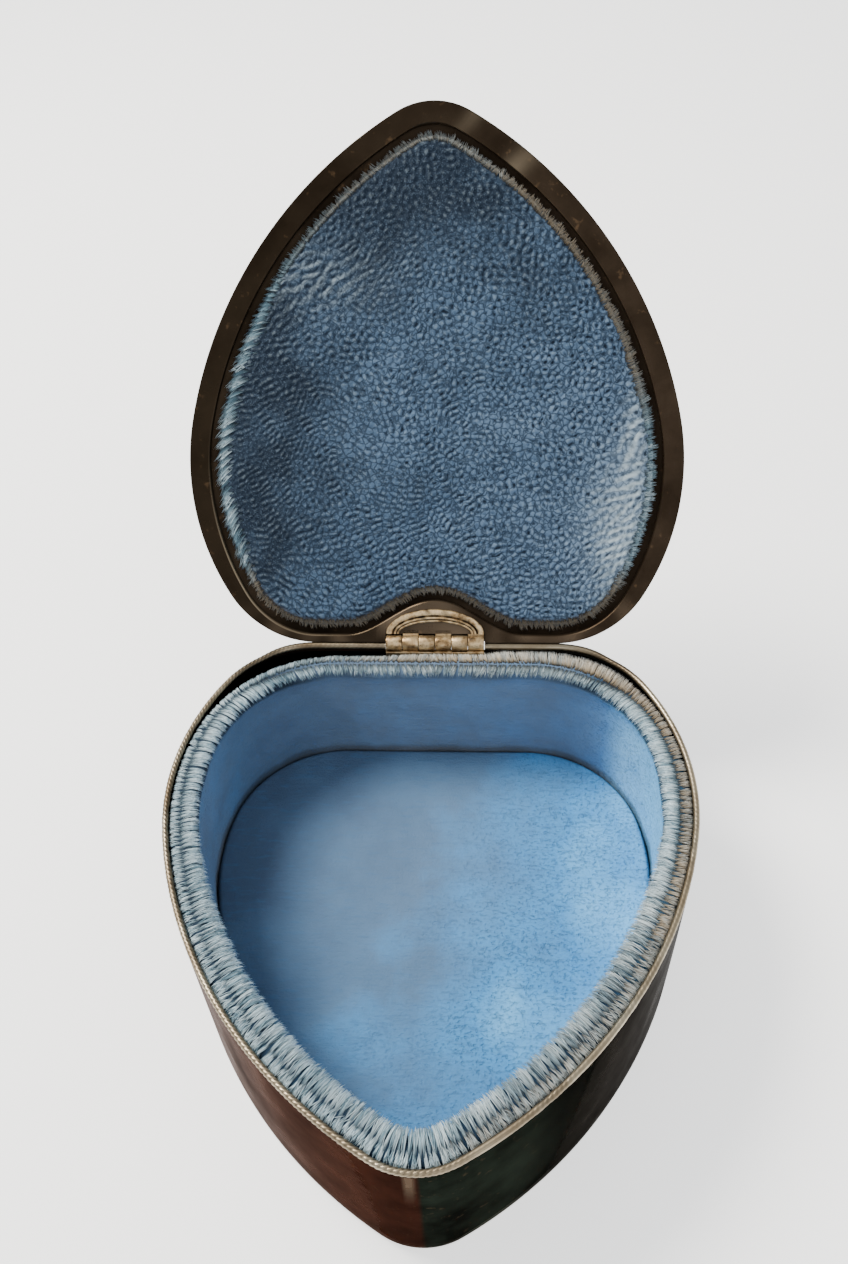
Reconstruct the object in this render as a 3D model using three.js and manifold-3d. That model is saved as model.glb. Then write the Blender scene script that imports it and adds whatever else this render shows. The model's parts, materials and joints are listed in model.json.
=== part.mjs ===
// Heart-shaped jewelry box of silver plate, lined with velvet, with its hinged lid standing open.
// Millimetres. X points right, Y to the back, where the hinge is, and Z up.
// The origin is at the middle of the flat underside.

import * as THREE from 'three';
import { mergeVertices } from 'three/addons/utils/BufferGeometryUtils.js';
import Module from 'manifold-3d';

const wasm = await Module();
wasm.setup();

// The heart, seen from above: a straight back, then arcs for lobe, side, flank and tip
const caseWidth = 90;
const caseLength = 95;
const widestFromBack = 32.5;
const lobeRadius = 19;
const sideRadius = 45;
const flankRadius = 78;
const tipRadius = 13;

// The case: a pressed wall and bottom in one, with a roped wire on its top edge
const caseHeight = 35;
const wallThickness = 1;
const bottomThickness = 1;
const bottomEdgeRadius = 2;
const insideCornerRadius = 1;
const wireDiameter = 1.3;

// The velvet: a strip round the wall with a rolled top edge, and a pad on the bottom
const insideDepth = 24;
const liningSideSpace = 0.9;
const liningBackSpace = 1.9;
const liningLobeRadius = 27;
const liningThickness = 3.2;
const rollWidth = 4.7;
const rollHeight = 3.4;
const rollBelowRim = 0.5;
const rollUndercut = 15;
const padEdgeSpace = 0.4;
const padEdgeRadius = 1.6;
const padCrown = 0.4;

// The lid: a flat border, a low skirt, a narrow ledge, and a dome with a heart's cleft at the back
const borderWidth = 3.6;
const borderBackWidth = 1.4;
const borderThickness = 1.6;
const borderEdgeRadius = 0.5;
const lidWallThickness = 1;
const skirtHeight = 3.4;
const ledgeHeight = 5.2;
const shoulderInset = 1.6;
const ledgeWidth = 2.2;
const domeRise = 8;
const domeRoundness = 2.2;
const cleftDepth = 5.4;
const cleftHalfWidth = 17;
const borderCleftDepth = 6.6;
const lidPadSpace = 1.7;
const lidPadEdgeRadius = 2;
const lidPadBackSpace = 0.5;
const lidPadCrown = 1.2;
const lidPadBelowBorder = 0.4;

// The hinge: six knuckles on a pin, a leaf inside the case, and a moulded D-shaped plate in the lid
const lidOpenAngle = 125;
const partingSpace = 0.4;
const hingeLength = 18.4;
const knuckleCount = 6;
const knuckleSpace = 0.25;
const barrelRadius = 1.45;
const pinRadius = 0.5;
const pinClearance = 0.1;
const leafThickness = 0.6;
const leafHeight = 6;
const plateDepth = 4.7;
const plateThickness = 0.6;
const mouldingWidth = 0.85;
const mouldingSpace = 0.45;
const outerMouldingRise = 0.4;
const innerMouldingRise = 0.25;
const leafWeld = 0.7;
const mouldingRoot = 0.15;

// Space between pieces that touch on the real box
const fitSpace = 0.3;

// Straight steps in one half of the outline, and in the other curves
const steps = { back: 3, lobe: 7, side: 6, flank: 9, tip: 4 };
const lidSteps = { ...steps, back: 5 };
const edgeSteps = 3;
const wireSides = 6;
const rollSteps = 6;
const domeSteps = 4;
const padSteps = 3;
const barrelSides = 16;
const plateSides = 12;

// Finishes
const silver = { color: 0x3a3128, roughness: 0.35, metalness: 0.9 };
const paleSilver = { color: 0xb9ab8d, roughness: 0.4, metalness: 0.9 };
const brass = { color: 0xb59a63, roughness: 0.45, metalness: 0.85 };
const blueVelvet = { color: 0x6f95c0, roughness: 1, metalness: 0 };
const deepBlueVelvet = { color: 0x3d5a80, roughness: 1, metalness: 0 };

const rad = THREE.MathUtils.degToRad;
const smallestTip = 0.3;
const mergeDistance = 1e-4;

const caseHeart = {
  halfWidth: caseWidth / 2,
  back: caseLength / 2,
  tip: -caseLength / 2,
  widest: caseLength / 2 - widestFromBack,
  lobeRadius,
  sideRadius,
  flankRadius,
  tipRadius,
};

// Same heart, moved along Y
function movedHeart(heart, y) {
  return { ...heart, back: heart.back + y, tip: heart.tip + y, widest: heart.widest + y };
}

// Centres of the four arcs of the right half, each arc tangent to the next
function arcCentres(heart) {
  const side = new THREE.Vector2(heart.halfWidth - heart.sideRadius, heart.widest);
  const lobeY = heart.back - heart.lobeRadius;
  const lobeReach = heart.sideRadius - heart.lobeRadius;
  const lobe = new THREE.Vector2(side.x + Math.sqrt(lobeReach ** 2 - (lobeY - side.y) ** 2), lobeY);
  const toTip = new THREE.Vector2(0, heart.tip + heart.tipRadius).sub(side);
  const grow = heart.flankRadius - heart.sideRadius;
  const flankToTip = heart.flankRadius - heart.tipRadius;
  const along = (flankToTip ** 2 - toTip.lengthSq() - grow ** 2) / (2 * grow);
  const turn = -Math.acos(along / toTip.length()) - Math.atan2(toTip.y, toTip.x);
  const flank = new THREE.Vector2(side.x - grow * Math.cos(turn), side.y + grow * Math.sin(turn));
  return { lobe, side, flank, turn };
}

function arcPoints(centre, radius, from, to, count) {
  const points = [];
  for (let i = 1; i <= count; i++) {
    const angle = from + ((to - from) * i) / count;
    points.push(new THREE.Vector2(centre.x + radius * Math.cos(angle), centre.y + radius * Math.sin(angle)));
  }
  return points;
}

// Closed outline at a distance inside the heart, anticlockwise from the middle of the back
function outline(heart, inset, count = steps) {
  const { lobe, side, flank, turn } = arcCentres(heart);
  const lobeEnd = Math.atan2(lobe.y - side.y, lobe.x - side.x);
  const tipArc = Math.max(heart.tipRadius - inset, smallestTip);
  const flankArc = heart.flankRadius - inset;
  const tip = new THREE.Vector2(0, flank.y - Math.sqrt((flankArc - tipArc) ** 2 - flank.x ** 2));
  const flankEnd = Math.atan2(tip.y - flank.y, tip.x - flank.x);
  const half = [];
  for (let i = 0; i <= count.back; i++) {
    half.push(new THREE.Vector2((lobe.x * i) / count.back, heart.back - inset));
  }
  half.push(...arcPoints(lobe, heart.lobeRadius - inset, Math.PI / 2, lobeEnd, count.lobe));
  half.push(...arcPoints(side, heart.sideRadius - inset, lobeEnd, -turn, count.side));
  half.push(...arcPoints(flank, flankArc, -turn, flankEnd, count.flank));
  half.push(...arcPoints(tip, tipArc, flankEnd, -Math.PI / 2, count.tip));
  const left = half.slice(1).map((p) => new THREE.Vector2(-p.x, p.y));
  const right = half.slice(1, -1).reverse();
  return [half[0], ...left, ...right];
}

function ring(points, z) {
  return points.map((p) => new THREE.Vector3(p.x, p.y, z));
}

// Rings whose [inset, height] pairs follow a section of the wall
function sectionRings(heart, section, count = steps) {
  return section.map(([inset, z]) => ring(outline(heart, inset, count), z));
}

// A closed body through rings of equal length: capped at both ends, or joined from last to first
function ringSolid(rings, joined = false) {
  const size = rings[0].length;
  const points = rings.flat();
  const faces = [];
  const spans = joined ? rings.length : rings.length - 1;
  for (let r = 0; r < spans; r++) {
    const low = r * size;
    const high = ((r + 1) % rings.length) * size;
    for (let i = 0; i < size; i++) {
      const next = (i + 1) % size;
      faces.push(low + i, low + next, high + next);
      faces.push(low + i, high + next, high + i);
    }
  }
  if (!joined) {
    const ends = [[0, rings[0]], [(rings.length - 1) * size, rings[rings.length - 1]]];
    ends.forEach(([start, end], which) => {
      const middle = end.reduce((sum, p) => sum.add(p), new THREE.Vector3()).divideScalar(size);
      points.push(middle);
      for (let i = 0; i < size; i++) {
        const pair = [start + i, start + ((i + 1) % size)];
        if (which === 0) pair.reverse();
        faces.push(...pair, points.length - 1);
      }
    });
  }
  const geometry = new THREE.BufferGeometry().setFromPoints(points);
  geometry.setIndex(signedVolume(points, faces) < 0 ? faces.reverse() : faces);
  return geometry;
}

function signedVolume(points, faces) {
  let sum = 0;
  for (let i = 0; i < faces.length; i += 3) {
    const [a, b, c] = [0, 1, 2].map((k) => points[faces[i + k]]);
    sum += a.dot(b.clone().cross(c));
  }
  return sum / 6;
}

// Manifold solids, for cuts and joins
function toSolid(geometry) {
  const bare = geometry.clone();
  bare.deleteAttribute('normal');
  bare.deleteAttribute('uv');
  const merged = mergeVertices(bare, mergeDistance);
  const mesh = new wasm.Mesh({
    numProp: 3,
    vertProperties: new Float32Array(merged.attributes.position.array),
    triVerts: new Uint32Array(merged.index.array),
  });
  return new wasm.Manifold(mesh);
}

function toGeometry(solid) {
  const mesh = solid.getMesh();
  const geometry = new THREE.BufferGeometry();
  geometry.setAttribute('position', new THREE.BufferAttribute(mesh.vertProperties, 3));
  geometry.setIndex(new THREE.BufferAttribute(mesh.triVerts, 1));
  return geometry;
}

// A block between two corners
function block(low, high) {
  const size = high.map((value, i) => value - low[i]);
  const middle = high.map((value, i) => (value + low[i]) / 2);
  return toSolid(new THREE.BoxGeometry(...size).translate(...middle));
}

// A shape drawn in the Y and Z directions, extruded along X from a start
function alongX(shape, start, length, sides) {
  const geometry = new THREE.ExtrudeGeometry(shape, { depth: length, bevelEnabled: false, curveSegments: sides });
  const turn = new THREE.Matrix4().makeBasis(
    new THREE.Vector3(0, 1, 0),
    new THREE.Vector3(0, 0, 1),
    new THREE.Vector3(1, 0, 0),
  );
  return geometry.applyMatrix4(turn).translate(start, 0, 0);
}

function named(name, geometry, finish) {
  const mesh = new THREE.Mesh(geometry, new THREE.MeshStandardMaterial(finish));
  mesh.name = name;
  return mesh;
}

// Heights and places that several pieces share
const wireRadius = wireDiameter / 2;
const wallTop = caseHeight - wireDiameter - fitSpace;
const axisY = caseHeart.back;
const axisZ = caseHeight + partingSpace / 2;
const knuckleLength = (hingeLength - knuckleSpace * (knuckleCount - 1)) / knuckleCount;
const notchHalf = hingeLength / 2 + fitSpace;
const barrelSpace = barrelRadius + fitSpace;
const liningOuter = wallThickness + liningSideSpace;
const liningInner = liningOuter + liningThickness;
const floorTop = caseHeight - insideDepth;
const layerBottom = bottomThickness + fitSpace;
const liningHeart = {
  ...caseHeart,
  back: caseHeart.back - (liningBackSpace - liningSideSpace),
  lobeRadius: liningLobeRadius,
};

// Space for the knuckles in the top of the case's back wall
function caseNotch() {
  const low = [-notchHalf, caseHeart.back - wallThickness - barrelSpace, axisZ - barrelSpace];
  const high = [notchHalf, axisY + barrelSpace, caseHeight + barrelSpace];
  return block(low, high);
}

// Case: round bottom edge, plain outer wall, open top, thin inner wall and floor
function baseBody() {
  const section = [];
  for (let i = 0; i <= edgeSteps; i++) {
    const angle = (Math.PI / 2) * (i / edgeSteps);
    section.push([bottomEdgeRadius * (1 - Math.sin(angle)), bottomEdgeRadius * (1 - Math.cos(angle))]);
  }
  section.push([0, wallTop], [wallThickness, wallTop]);
  for (let i = 0; i <= edgeSteps; i++) {
    const angle = (Math.PI / 2) * (i / edgeSteps);
    const inset = wallThickness + insideCornerRadius * (1 - Math.cos(angle));
    section.push([inset, bottomThickness + insideCornerRadius * (1 - Math.sin(angle))]);
  }
  return toGeometry(toSolid(ringSolid(sectionRings(caseHeart, section))).subtract(caseNotch()));
}

// Wire along the top edge, broken at the hinge
function rimWire() {
  const section = [];
  for (let i = 0; i < wireSides; i++) {
    const angle = (2 * Math.PI * (i + 0.5)) / wireSides;
    const inset = wallThickness / 2 + wireRadius * Math.cos(angle);
    section.push([inset, caseHeight - wireRadius + wireRadius * Math.sin(angle)]);
  }
  return toGeometry(toSolid(ringSolid(sectionRings(caseHeart, section), true)).subtract(caseNotch()));
}

// Strip round the inside of the wall, with its rolled edge just under the rim
function wallLining() {
  const rollMiddle = liningOuter + liningThickness / 2;
  const rollCentre = caseHeight - rollBelowRim - rollHeight / 2;
  const neck = rollCentre - rollHeight / 2;
  const section = [[liningInner, neck], [liningInner, layerBottom], [liningOuter, layerBottom], [liningOuter, neck]];
  const under = rad(rollUndercut);
  for (let i = 0; i <= rollSteps; i++) {
    const angle = Math.PI + under - ((Math.PI + 2 * under) * i) / rollSteps;
    const inset = rollMiddle + (rollWidth / 2) * Math.cos(angle);
    section.push([inset, rollCentre + (rollHeight / 2) * Math.sin(angle)]);
  }
  return ringSolid(sectionRings(liningHeart, section), true);
}

// Pad on the floor, with a soft edge and a slight crown
function floorPad() {
  const edge = liningInner + padEdgeSpace;
  const section = [[edge, layerBottom]];
  for (let i = 0; i <= padSteps; i++) {
    const angle = (Math.PI / 2) * (i / padSteps);
    const inset = edge + padEdgeRadius * (1 - Math.cos(angle));
    section.push([inset, floorTop - padCrown - padEdgeRadius * (1 - Math.sin(angle))]);
  }
  const rings = sectionRings(liningHeart, section);
  rings.push(...crownRings(rings[rings.length - 1], padSteps, (share) => padCrown * (1 - share ** 2)));
  return ringSolid(rings);
}

// Smaller copies of a ring round its own middle, each raised by a function of its share of the size.
// The last copy is half a step wide, and its cap closes the crown.
function crownRings(start, count, rise) {
  const middle = start.reduce((sum, p) => sum.add(p), new THREE.Vector3()).divideScalar(start.length);
  const halfStep = 0.5 / (count + 0.5);
  const rings = [];
  for (let i = 1; i <= count; i++) {
    const share = 1 - 2 * i * halfStep;
    const lift = new THREE.Vector3(0, 0, rise(share));
    rings.push(start.map((p) => p.clone().sub(middle).multiplyScalar(share).add(middle).add(lift)));
  }
  return rings;
}

// The lid is drawn closed, with the hinge axis as its origin, and turned open at the end
const lidHeart = movedHeart(caseHeart, -axisY);
const borderPlane = partingSpace / 2;

// Outline inside the lid whose back is stretched backwards, then dips forward to a heart's cleft
function cleftOutline(inset, depth = cleftDepth, stretch = 1) {
  return outline(lidHeart, inset, lidSteps).map((p) => {
    const behind = p.y - lidHeart.widest;
    if (behind <= 0) return p;
    const near = Math.min(Math.abs(p.x) / cleftHalfWidth, 1);
    const dip = depth * (0.5 + 0.5 * Math.cos(Math.PI * near));
    return new THREE.Vector2(p.x, lidHeart.widest + behind * stretch - dip);
  });
}

// The border's inner edge and the pad share one outline, which leaves the border narrow at the back
const borderStretch = (widestFromBack - borderBackWidth) / (widestFromBack - borderWidth);

function borderOutline(inset) {
  return cleftOutline(inset, borderCleftDepth, borderStretch);
}

function domeHeight(share) {
  return domeRise * (1 - share ** domeRoundness);
}

// Lid: skirt and ledge outside, dome above, and the flat border folded in underneath
function lidShell() {
  const up = borderPlane;
  const outerLow = [];
  for (let i = 0; i <= edgeSteps; i++) {
    const angle = (Math.PI / 2) * (i / edgeSteps);
    outerLow.push([borderEdgeRadius * (1 - Math.sin(angle)), up + borderEdgeRadius * (1 - Math.cos(angle))]);
  }
  outerLow.push([0, up + skirtHeight], [shoulderInset, up + ledgeHeight]);
  const ledgeEnd = shoulderInset + ledgeWidth;
  const innerTop = up + ledgeHeight - lidWallThickness;
  const skirtTop = Math.min(up + skirtHeight, innerTop - fitSpace);
  const outerTop = ring(cleftOutline(ledgeEnd), up + ledgeHeight);
  const innerTopRing = ring(cleftOutline(ledgeEnd + lidWallThickness), innerTop);
  const rings = [
    ring(borderOutline(borderWidth), up + borderThickness),
    ring(borderOutline(borderWidth), up),
    ...sectionRings(lidHeart, outerLow, lidSteps),
    outerTop,
    ...crownRings(outerTop, domeSteps, domeHeight),
  ];
  const inside = [
    ring(outline(lidHeart, lidWallThickness, lidSteps), up + borderThickness),
    ring(outline(lidHeart, lidWallThickness, lidSteps), skirtTop),
    ring(outline(lidHeart, lidWallThickness + shoulderInset, lidSteps), innerTop),
    innerTopRing,
    ...crownRings(innerTopRing, domeSteps, domeHeight),
  ];
  const shell = toSolid(ringSolid([...inside.reverse(), ...rings]));
  const low = [-notchHalf, -barrelSpace, -barrelSpace];
  const notch = block(low, [notchHalf, barrelSpace, barrelSpace]);
  const pocket = plateBlank(plateThickness + fitSpace, fitSpace).translate([0, 0, up]);
  return toGeometry(shell.subtract(notch).subtract(pocket));
}

// Pad in the lid: flat against the dome, soft round edge, and a crowned face towards the box
function lidPad() {
  const edge = borderWidth + lidPadSpace;
  const face = borderPlane + lidPadBelowBorder;
  const back = borderPlane + ledgeHeight - lidWallThickness - lidPadBackSpace;
  const rings = [ring(borderOutline(edge), back)];
  for (let i = 0; i <= padSteps; i++) {
    const angle = (Math.PI / 2) * (i / padSteps);
    const inset = edge + lidPadEdgeRadius * (1 - Math.cos(angle));
    rings.push(ring(borderOutline(inset), face + lidPadEdgeRadius * (1 - Math.sin(angle))));
  }
  rings.push(...crownRings(rings[rings.length - 1], padSteps, (share) => -lidPadCrown * (1 - share ** 2)));
  return ringSolid(rings);
}

// Half an ellipse in front of the barrel, wider all round by a margin
function plateShape(margin) {
  const shape = new THREE.Shape();
  const straight = -barrelSpace + Math.max(margin, 0);
  shape.moveTo(-hingeLength / 2 - margin, straight);
  shape.absellipse(0, -barrelSpace, hingeLength / 2 + margin, plateDepth + margin, Math.PI, 2 * Math.PI, false, 0);
  shape.lineTo(hingeLength / 2 + margin, straight);
  return shape;
}

function plateBlank(thickness, margin = 0) {
  const geometry = new THREE.ExtrudeGeometry(plateShape(margin), {
    depth: thickness,
    bevelEnabled: false,
    curveSegments: plateSides,
  });
  return toSolid(geometry);
}

// A raised arc that follows the plate's round edge, rooted a little into the plate
function moulding(from, rise) {
  const height = rise + mouldingRoot;
  const outer = plateBlank(height, -from);
  const inner = plateBlank(height + 2 * fitSpace, -from - mouldingWidth).translate([0, 0, -fitSpace]);
  return outer.subtract(inner).translate([0, 0, -rise]);
}

// Knuckles of one leaf: every second one, from a first
function knuckles(first) {
  let solid = null;
  for (let i = first; i < knuckleCount; i += 2) {
    const start = -hingeLength / 2 + i * (knuckleLength + knuckleSpace);
    const shape = new THREE.Shape().absarc(0, 0, barrelRadius, 0, 2 * Math.PI, false);
    shape.holes.push(new THREE.Path().absarc(0, 0, pinRadius + pinClearance, 0, 2 * Math.PI, true));
    const knuckle = toSolid(alongX(shape, start, knuckleLength, barrelSides));
    solid = solid ? solid.add(knuckle) : knuckle;
  }
  return solid;
}

// Short webs that join every second knuckle to its leaf, in the Y and Z span given
function webs(first, low, high) {
  let solid = null;
  for (let i = first; i < knuckleCount; i += 2) {
    const start = -hingeLength / 2 + i * (knuckleLength + knuckleSpace);
    const web = block([start, ...low], [start + knuckleLength, ...high]);
    solid = solid ? solid.add(web) : web;
  }
  return solid;
}

// Case leaf: upright inside the back wall, bent over the notched wall to its knuckles
function baseHingeLeaf() {
  const front = -wallThickness - fitSpace - leafThickness;
  const webTop = -pinRadius - pinClearance;
  const webLow = webTop - leafWeld;
  const leaf = block(
    [-hingeLength / 2, front, webTop - leafHeight],
    [hingeLength / 2, front + leafThickness, webTop],
  );
  return toGeometry(knuckles(0).add(webs(0, [front, webLow], [-pinRadius - pinClearance, webTop])).add(leaf));
}

// Lid leaf: the D-shaped plate with two raised arcs round a plain sunk middle
function lidHingeLeaf() {
  const plate = plateBlank(plateThickness)
    .add(moulding(0, outerMouldingRise))
    .add(moulding(mouldingWidth + mouldingSpace, innerMouldingRise))
    .translate([0, 0, borderPlane]);
  const low = [-barrelSpace - leafWeld, borderPlane];
  const high = [-pinRadius - pinClearance, borderPlane + plateThickness];
  return toGeometry(knuckles(1).add(webs(1, low, high)).add(plate));
}

function hingePin() {
  return new THREE.CylinderGeometry(pinRadius, pinRadius, hingeLength, barrelSides).rotateZ(Math.PI / 2);
}

const box = new THREE.Group();
box.add(named('base_body', baseBody(), silver));
box.add(named('base_rim_wire', rimWire(), paleSilver));
box.add(named('base_wall_lining', wallLining(), blueVelvet));
box.add(named('base_floor_pad', floorPad(), blueVelvet));

const hinge = new THREE.Group();
hinge.position.set(0, axisY, axisZ);
hinge.add(named('base_hinge_leaf', baseHingeLeaf(), brass));
hinge.add(named('hinge_pin', hingePin(), brass));
box.add(hinge);

const lid = new THREE.Group();
lid.rotation.x = -rad(lidOpenAngle);
lid.add(named('lid_shell', lidShell(), silver));
lid.add(named('lid_pad', lidPad(), deepBlueVelvet));
lid.add(named('lid_hinge_leaf', lidHingeLeaf(), brass));
hinge.add(lid);

export default box;
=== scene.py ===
# %% [markdown]
# # A velvet-lined heart box of tarnished silver
#
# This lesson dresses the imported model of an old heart-shaped jewelry box. The real box is pressed
# from thin sheet metal, silvered, and lined with blue velvet over wadding. Everything below is in
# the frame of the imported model: metres, Z up, the hinge at the back (+Y).
#
# The shapes are worked out in millimetres with numpy, as whole arrays, and turned to metres when
# they become a mesh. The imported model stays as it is: it says how large each piece is and where.

# %% Load the fixed frame
import json
import math

import bpy
import numpy as np
from mathutils import Matrix, Vector


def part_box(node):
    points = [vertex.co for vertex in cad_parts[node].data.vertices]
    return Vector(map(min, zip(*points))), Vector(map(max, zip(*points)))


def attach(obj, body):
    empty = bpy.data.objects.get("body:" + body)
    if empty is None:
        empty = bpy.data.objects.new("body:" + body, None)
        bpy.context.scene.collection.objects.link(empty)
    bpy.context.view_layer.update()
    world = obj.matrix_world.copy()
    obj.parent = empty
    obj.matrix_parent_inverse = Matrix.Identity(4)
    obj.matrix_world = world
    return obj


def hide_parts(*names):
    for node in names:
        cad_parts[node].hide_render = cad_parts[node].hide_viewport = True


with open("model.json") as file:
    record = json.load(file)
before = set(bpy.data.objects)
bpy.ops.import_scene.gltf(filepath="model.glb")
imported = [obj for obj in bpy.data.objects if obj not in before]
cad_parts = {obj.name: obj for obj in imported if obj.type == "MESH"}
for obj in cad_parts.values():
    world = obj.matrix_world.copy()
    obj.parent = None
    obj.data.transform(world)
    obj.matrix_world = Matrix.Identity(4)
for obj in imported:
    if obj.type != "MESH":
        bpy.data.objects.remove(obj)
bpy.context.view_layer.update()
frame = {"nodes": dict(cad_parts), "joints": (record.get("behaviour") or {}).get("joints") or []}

# %% [markdown]
# ## Sizes
#
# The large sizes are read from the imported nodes, so that nothing has to be fitted by hand. The
# radii of the heart's arcs, and the small sizes of edges and rolls, are named here in millimetres.

# %% Sizes from the frame, and the named ones
MM = 0.001
body_low, body_high = (np.array(corner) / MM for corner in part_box("base_body"))
wire_low, wire_high = (np.array(corner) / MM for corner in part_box("base_rim_wire"))
pad_low, pad_high = (np.array(corner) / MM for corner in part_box("base_floor_pad"))
lining_low, lining_high = (np.array(corner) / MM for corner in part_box("base_wall_lining"))
leaf_low, leaf_high = (np.array(corner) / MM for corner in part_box("base_hinge_leaf"))
hinge = frame["joints"][0]
axis_y, axis_z = (value / MM for value in hinge["pos_m"][1:])
open_angle = -math.radians(hinge["range_deg"][1])

WALL = 1.0
WIDEST_FROM_BACK = 32.5
FIT = 0.3
EDGE_RADIUS = 2.0
RIM = wire_high[2]
WIRE = wire_high[2] - wire_low[2]
BARREL = 1.45
PIN = 0.5
HINGE_LENGTH = leaf_high[0] - leaf_low[0]
NOTCH_SPACE = 0.12
NOTCH_HALF = HINGE_LENGTH / 2 + NOTCH_SPACE
BARREL_SPACE = BARREL + FIT

CASE_HEART = {
    "half": (wire_high[0] - wire_low[0]) / 2,
    "back": body_high[1],
    "tip": body_low[1],
    "widest": body_high[1] - WIDEST_FROM_BACK,
    "lobe_radius": 19.0,
    "side_radius": 45.0,
    "flank_radius": 78.0,
    "tip_radius": 13.0,
}
LINING_HEART = dict(CASE_HEART, back=CASE_HEART["back"] - 1.0, lobe_radius=27.0)
LID_HEART = dict(CASE_HEART)
for key in ("back", "tip", "widest"):
    LID_HEART[key] -= axis_y
print("heart", round(2 * CASE_HEART["half"], 1), "x", round(body_high[1] - body_low[1], 1), "mm")

# %% [markdown]
# ## The heart as a path
#
# Seen from above, the real box isn't a playing-card heart: its back is straight, and four arcs lead
# from lobe to tip. Because each arc is tangent to the next, a curve at a fixed distance inside is
# the same path moved along its normals. So one path, with points and inward normals, serves the
# wall, the wire, the lining and the lid alike.


# %% The path of the heart
def heart_arcs(heart):
    """Arcs of the right half, as (centre, radius, start angle, end angle).

    Each centre lies on the line through the last centre and the point where two arcs touch. The
    turn is the angle at which the side arc hands over to the flank arc; it follows from the
    triangle between the centres of side, flank and tip.
    """
    side = np.array([heart["half"] - heart["side_radius"], heart["widest"]])
    lobe_y = heart["back"] - heart["lobe_radius"]
    reach = heart["side_radius"] - heart["lobe_radius"]
    lobe = np.array([side[0] + math.sqrt(reach**2 - (lobe_y - side[1]) ** 2), lobe_y])
    to_tip = np.array([0.0, heart["tip"] + heart["tip_radius"]]) - side
    grow = heart["flank_radius"] - heart["side_radius"]
    flank_to_tip = heart["flank_radius"] - heart["tip_radius"]
    along = (flank_to_tip**2 - to_tip @ to_tip - grow**2) / (2 * grow)
    turn = -math.acos(along / math.hypot(*to_tip)) - math.atan2(to_tip[1], to_tip[0])
    flank = side + grow * np.array([-math.cos(turn), math.sin(turn)])
    tip = np.array([0.0, flank[1] - math.sqrt(flank_to_tip**2 - flank[0] ** 2)])
    lobe_end = math.atan2(lobe[1] - side[1], lobe[0] - side[0])
    flank_end = math.atan2(tip[1] - flank[1], tip[0] - flank[0])
    return [
        (lobe, heart["lobe_radius"], math.pi / 2, lobe_end),
        (side, heart["side_radius"], lobe_end, -turn),
        (flank, heart["flank_radius"], -turn, flank_end),
        (tip, heart["tip_radius"], flank_end, -math.pi / 2),
    ]


def heart_length(heart):
    """Length of the whole outline: twice the straight half back and the arcs of one half."""
    arcs = heart_arcs(heart)
    return 2 * (arcs[0][0][0] + sum(radius * (start - end) for _, radius, start, end in arcs))


def on_heart(heart, s):
    """Points and inward normals at distances s along the outline, clockwise from the back middle.

    The first half runs along the straight back and then round each arc, where the angle falls by
    distance over radius. The second half is the first one mirrored and run backwards.
    """
    half_length = heart_length(heart) / 2
    s = np.mod(s, 2 * half_length)
    mirrored = s > half_length
    d = np.where(mirrored, 2 * half_length - s, s)
    arcs = heart_arcs(heart)
    p = np.stack([d, np.full_like(d, heart["back"])], 1)
    n = np.stack([np.zeros_like(d), -np.ones_like(d)], 1)
    begin = arcs[0][0][0]
    for centre, radius, start, end in arcs:
        here = d >= begin
        angle = start - (d[here] - begin) / radius
        outward = np.stack([np.cos(angle), np.sin(angle)], 1)
        p[here] = centre + radius * outward
        n[here] = -outward
        begin += radius * (start - end)
    sign = np.where(mirrored, -1.0, 1.0)
    p[:, 0] *= sign
    n[:, 0] *= sign
    return p, n


def path_steps(heart, step, marks=()):
    """Even distances round the outline, with a close pair of points at each mark for a sharp step."""
    length = heart_length(heart)
    even = np.arange(round(length / step)) * (length / round(length / step))
    pairs = [mark + nudge for mark in marks for nudge in (-0.01, 0.01)]
    return np.unique(np.concatenate([even, np.mod(pairs, length)])) if marks else even


print("outline", round(heart_length(CASE_HEART), 1), "mm round")

# %% [markdown]
# ## From points to a mesh
#
# A grid of points becomes quads by joining each point to its neighbours. All the grids here close
# on themselves, either round the heart, round a section, or both, and an open end gets a fan to
# one middle point. A closed mesh has a volume with a sign, and that sign says whether its faces
# point outwards: if it is negative, every face is turned round.


# %% Grids, caps and new pieces
def grid_quads(rows, columns, close_rows=False, close_columns=True, start=0):
    """Quads between the rows and columns of a grid of points, counted row by row from start."""
    r = np.arange(rows if close_rows else rows - 1)
    c = np.arange(columns if close_columns else columns - 1)
    r, c = (a.ravel() for a in np.meshgrid(r, c, indexing="ij"))
    r2 = (r + 1) % rows
    c2 = (c + 1) % columns
    return start + np.stack([r * columns + c, r * columns + c2, r2 * columns + c2, r2 * columns + c], 1)


def fan(loop, middle, turned=False):
    """Triangles from a closed loop of point numbers to one middle point."""
    faces = np.stack([loop, np.roll(loop, -1), np.full_like(loop, middle)], 1)
    return faces[:, ::-1] if turned else faces


def signed_volume(points, faces):
    """A sixth of the sum of a · (b × c) over the triangles of each face."""
    total = 0.0
    for k in range(1, faces.shape[1] - 1):
        a, b, c = points[faces[:, 0]], points[faces[:, k]], points[faces[:, k + 1]]
        total += float(np.einsum("ij,ij->", a, np.cross(b, c)))
    return total / 6


def turned_outwards(points, faces):
    """The faces of a closed body, all turned round where its volume comes out negative."""
    inside_out = sum(signed_volume(points, f) for f in faces) < 0
    return [f[:, ::-1] for f in faces] if inside_out else faces


def capped_tube(rows, columns):
    """Faces of a tube of rings with a fan at each end; the two middle points follow the rings."""
    count = rows * columns
    return [
        grid_quads(rows, columns),
        fan(np.arange(columns), count, turned=True),
        fan(np.arange(columns) + count - columns, count + 1),
    ]


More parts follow.
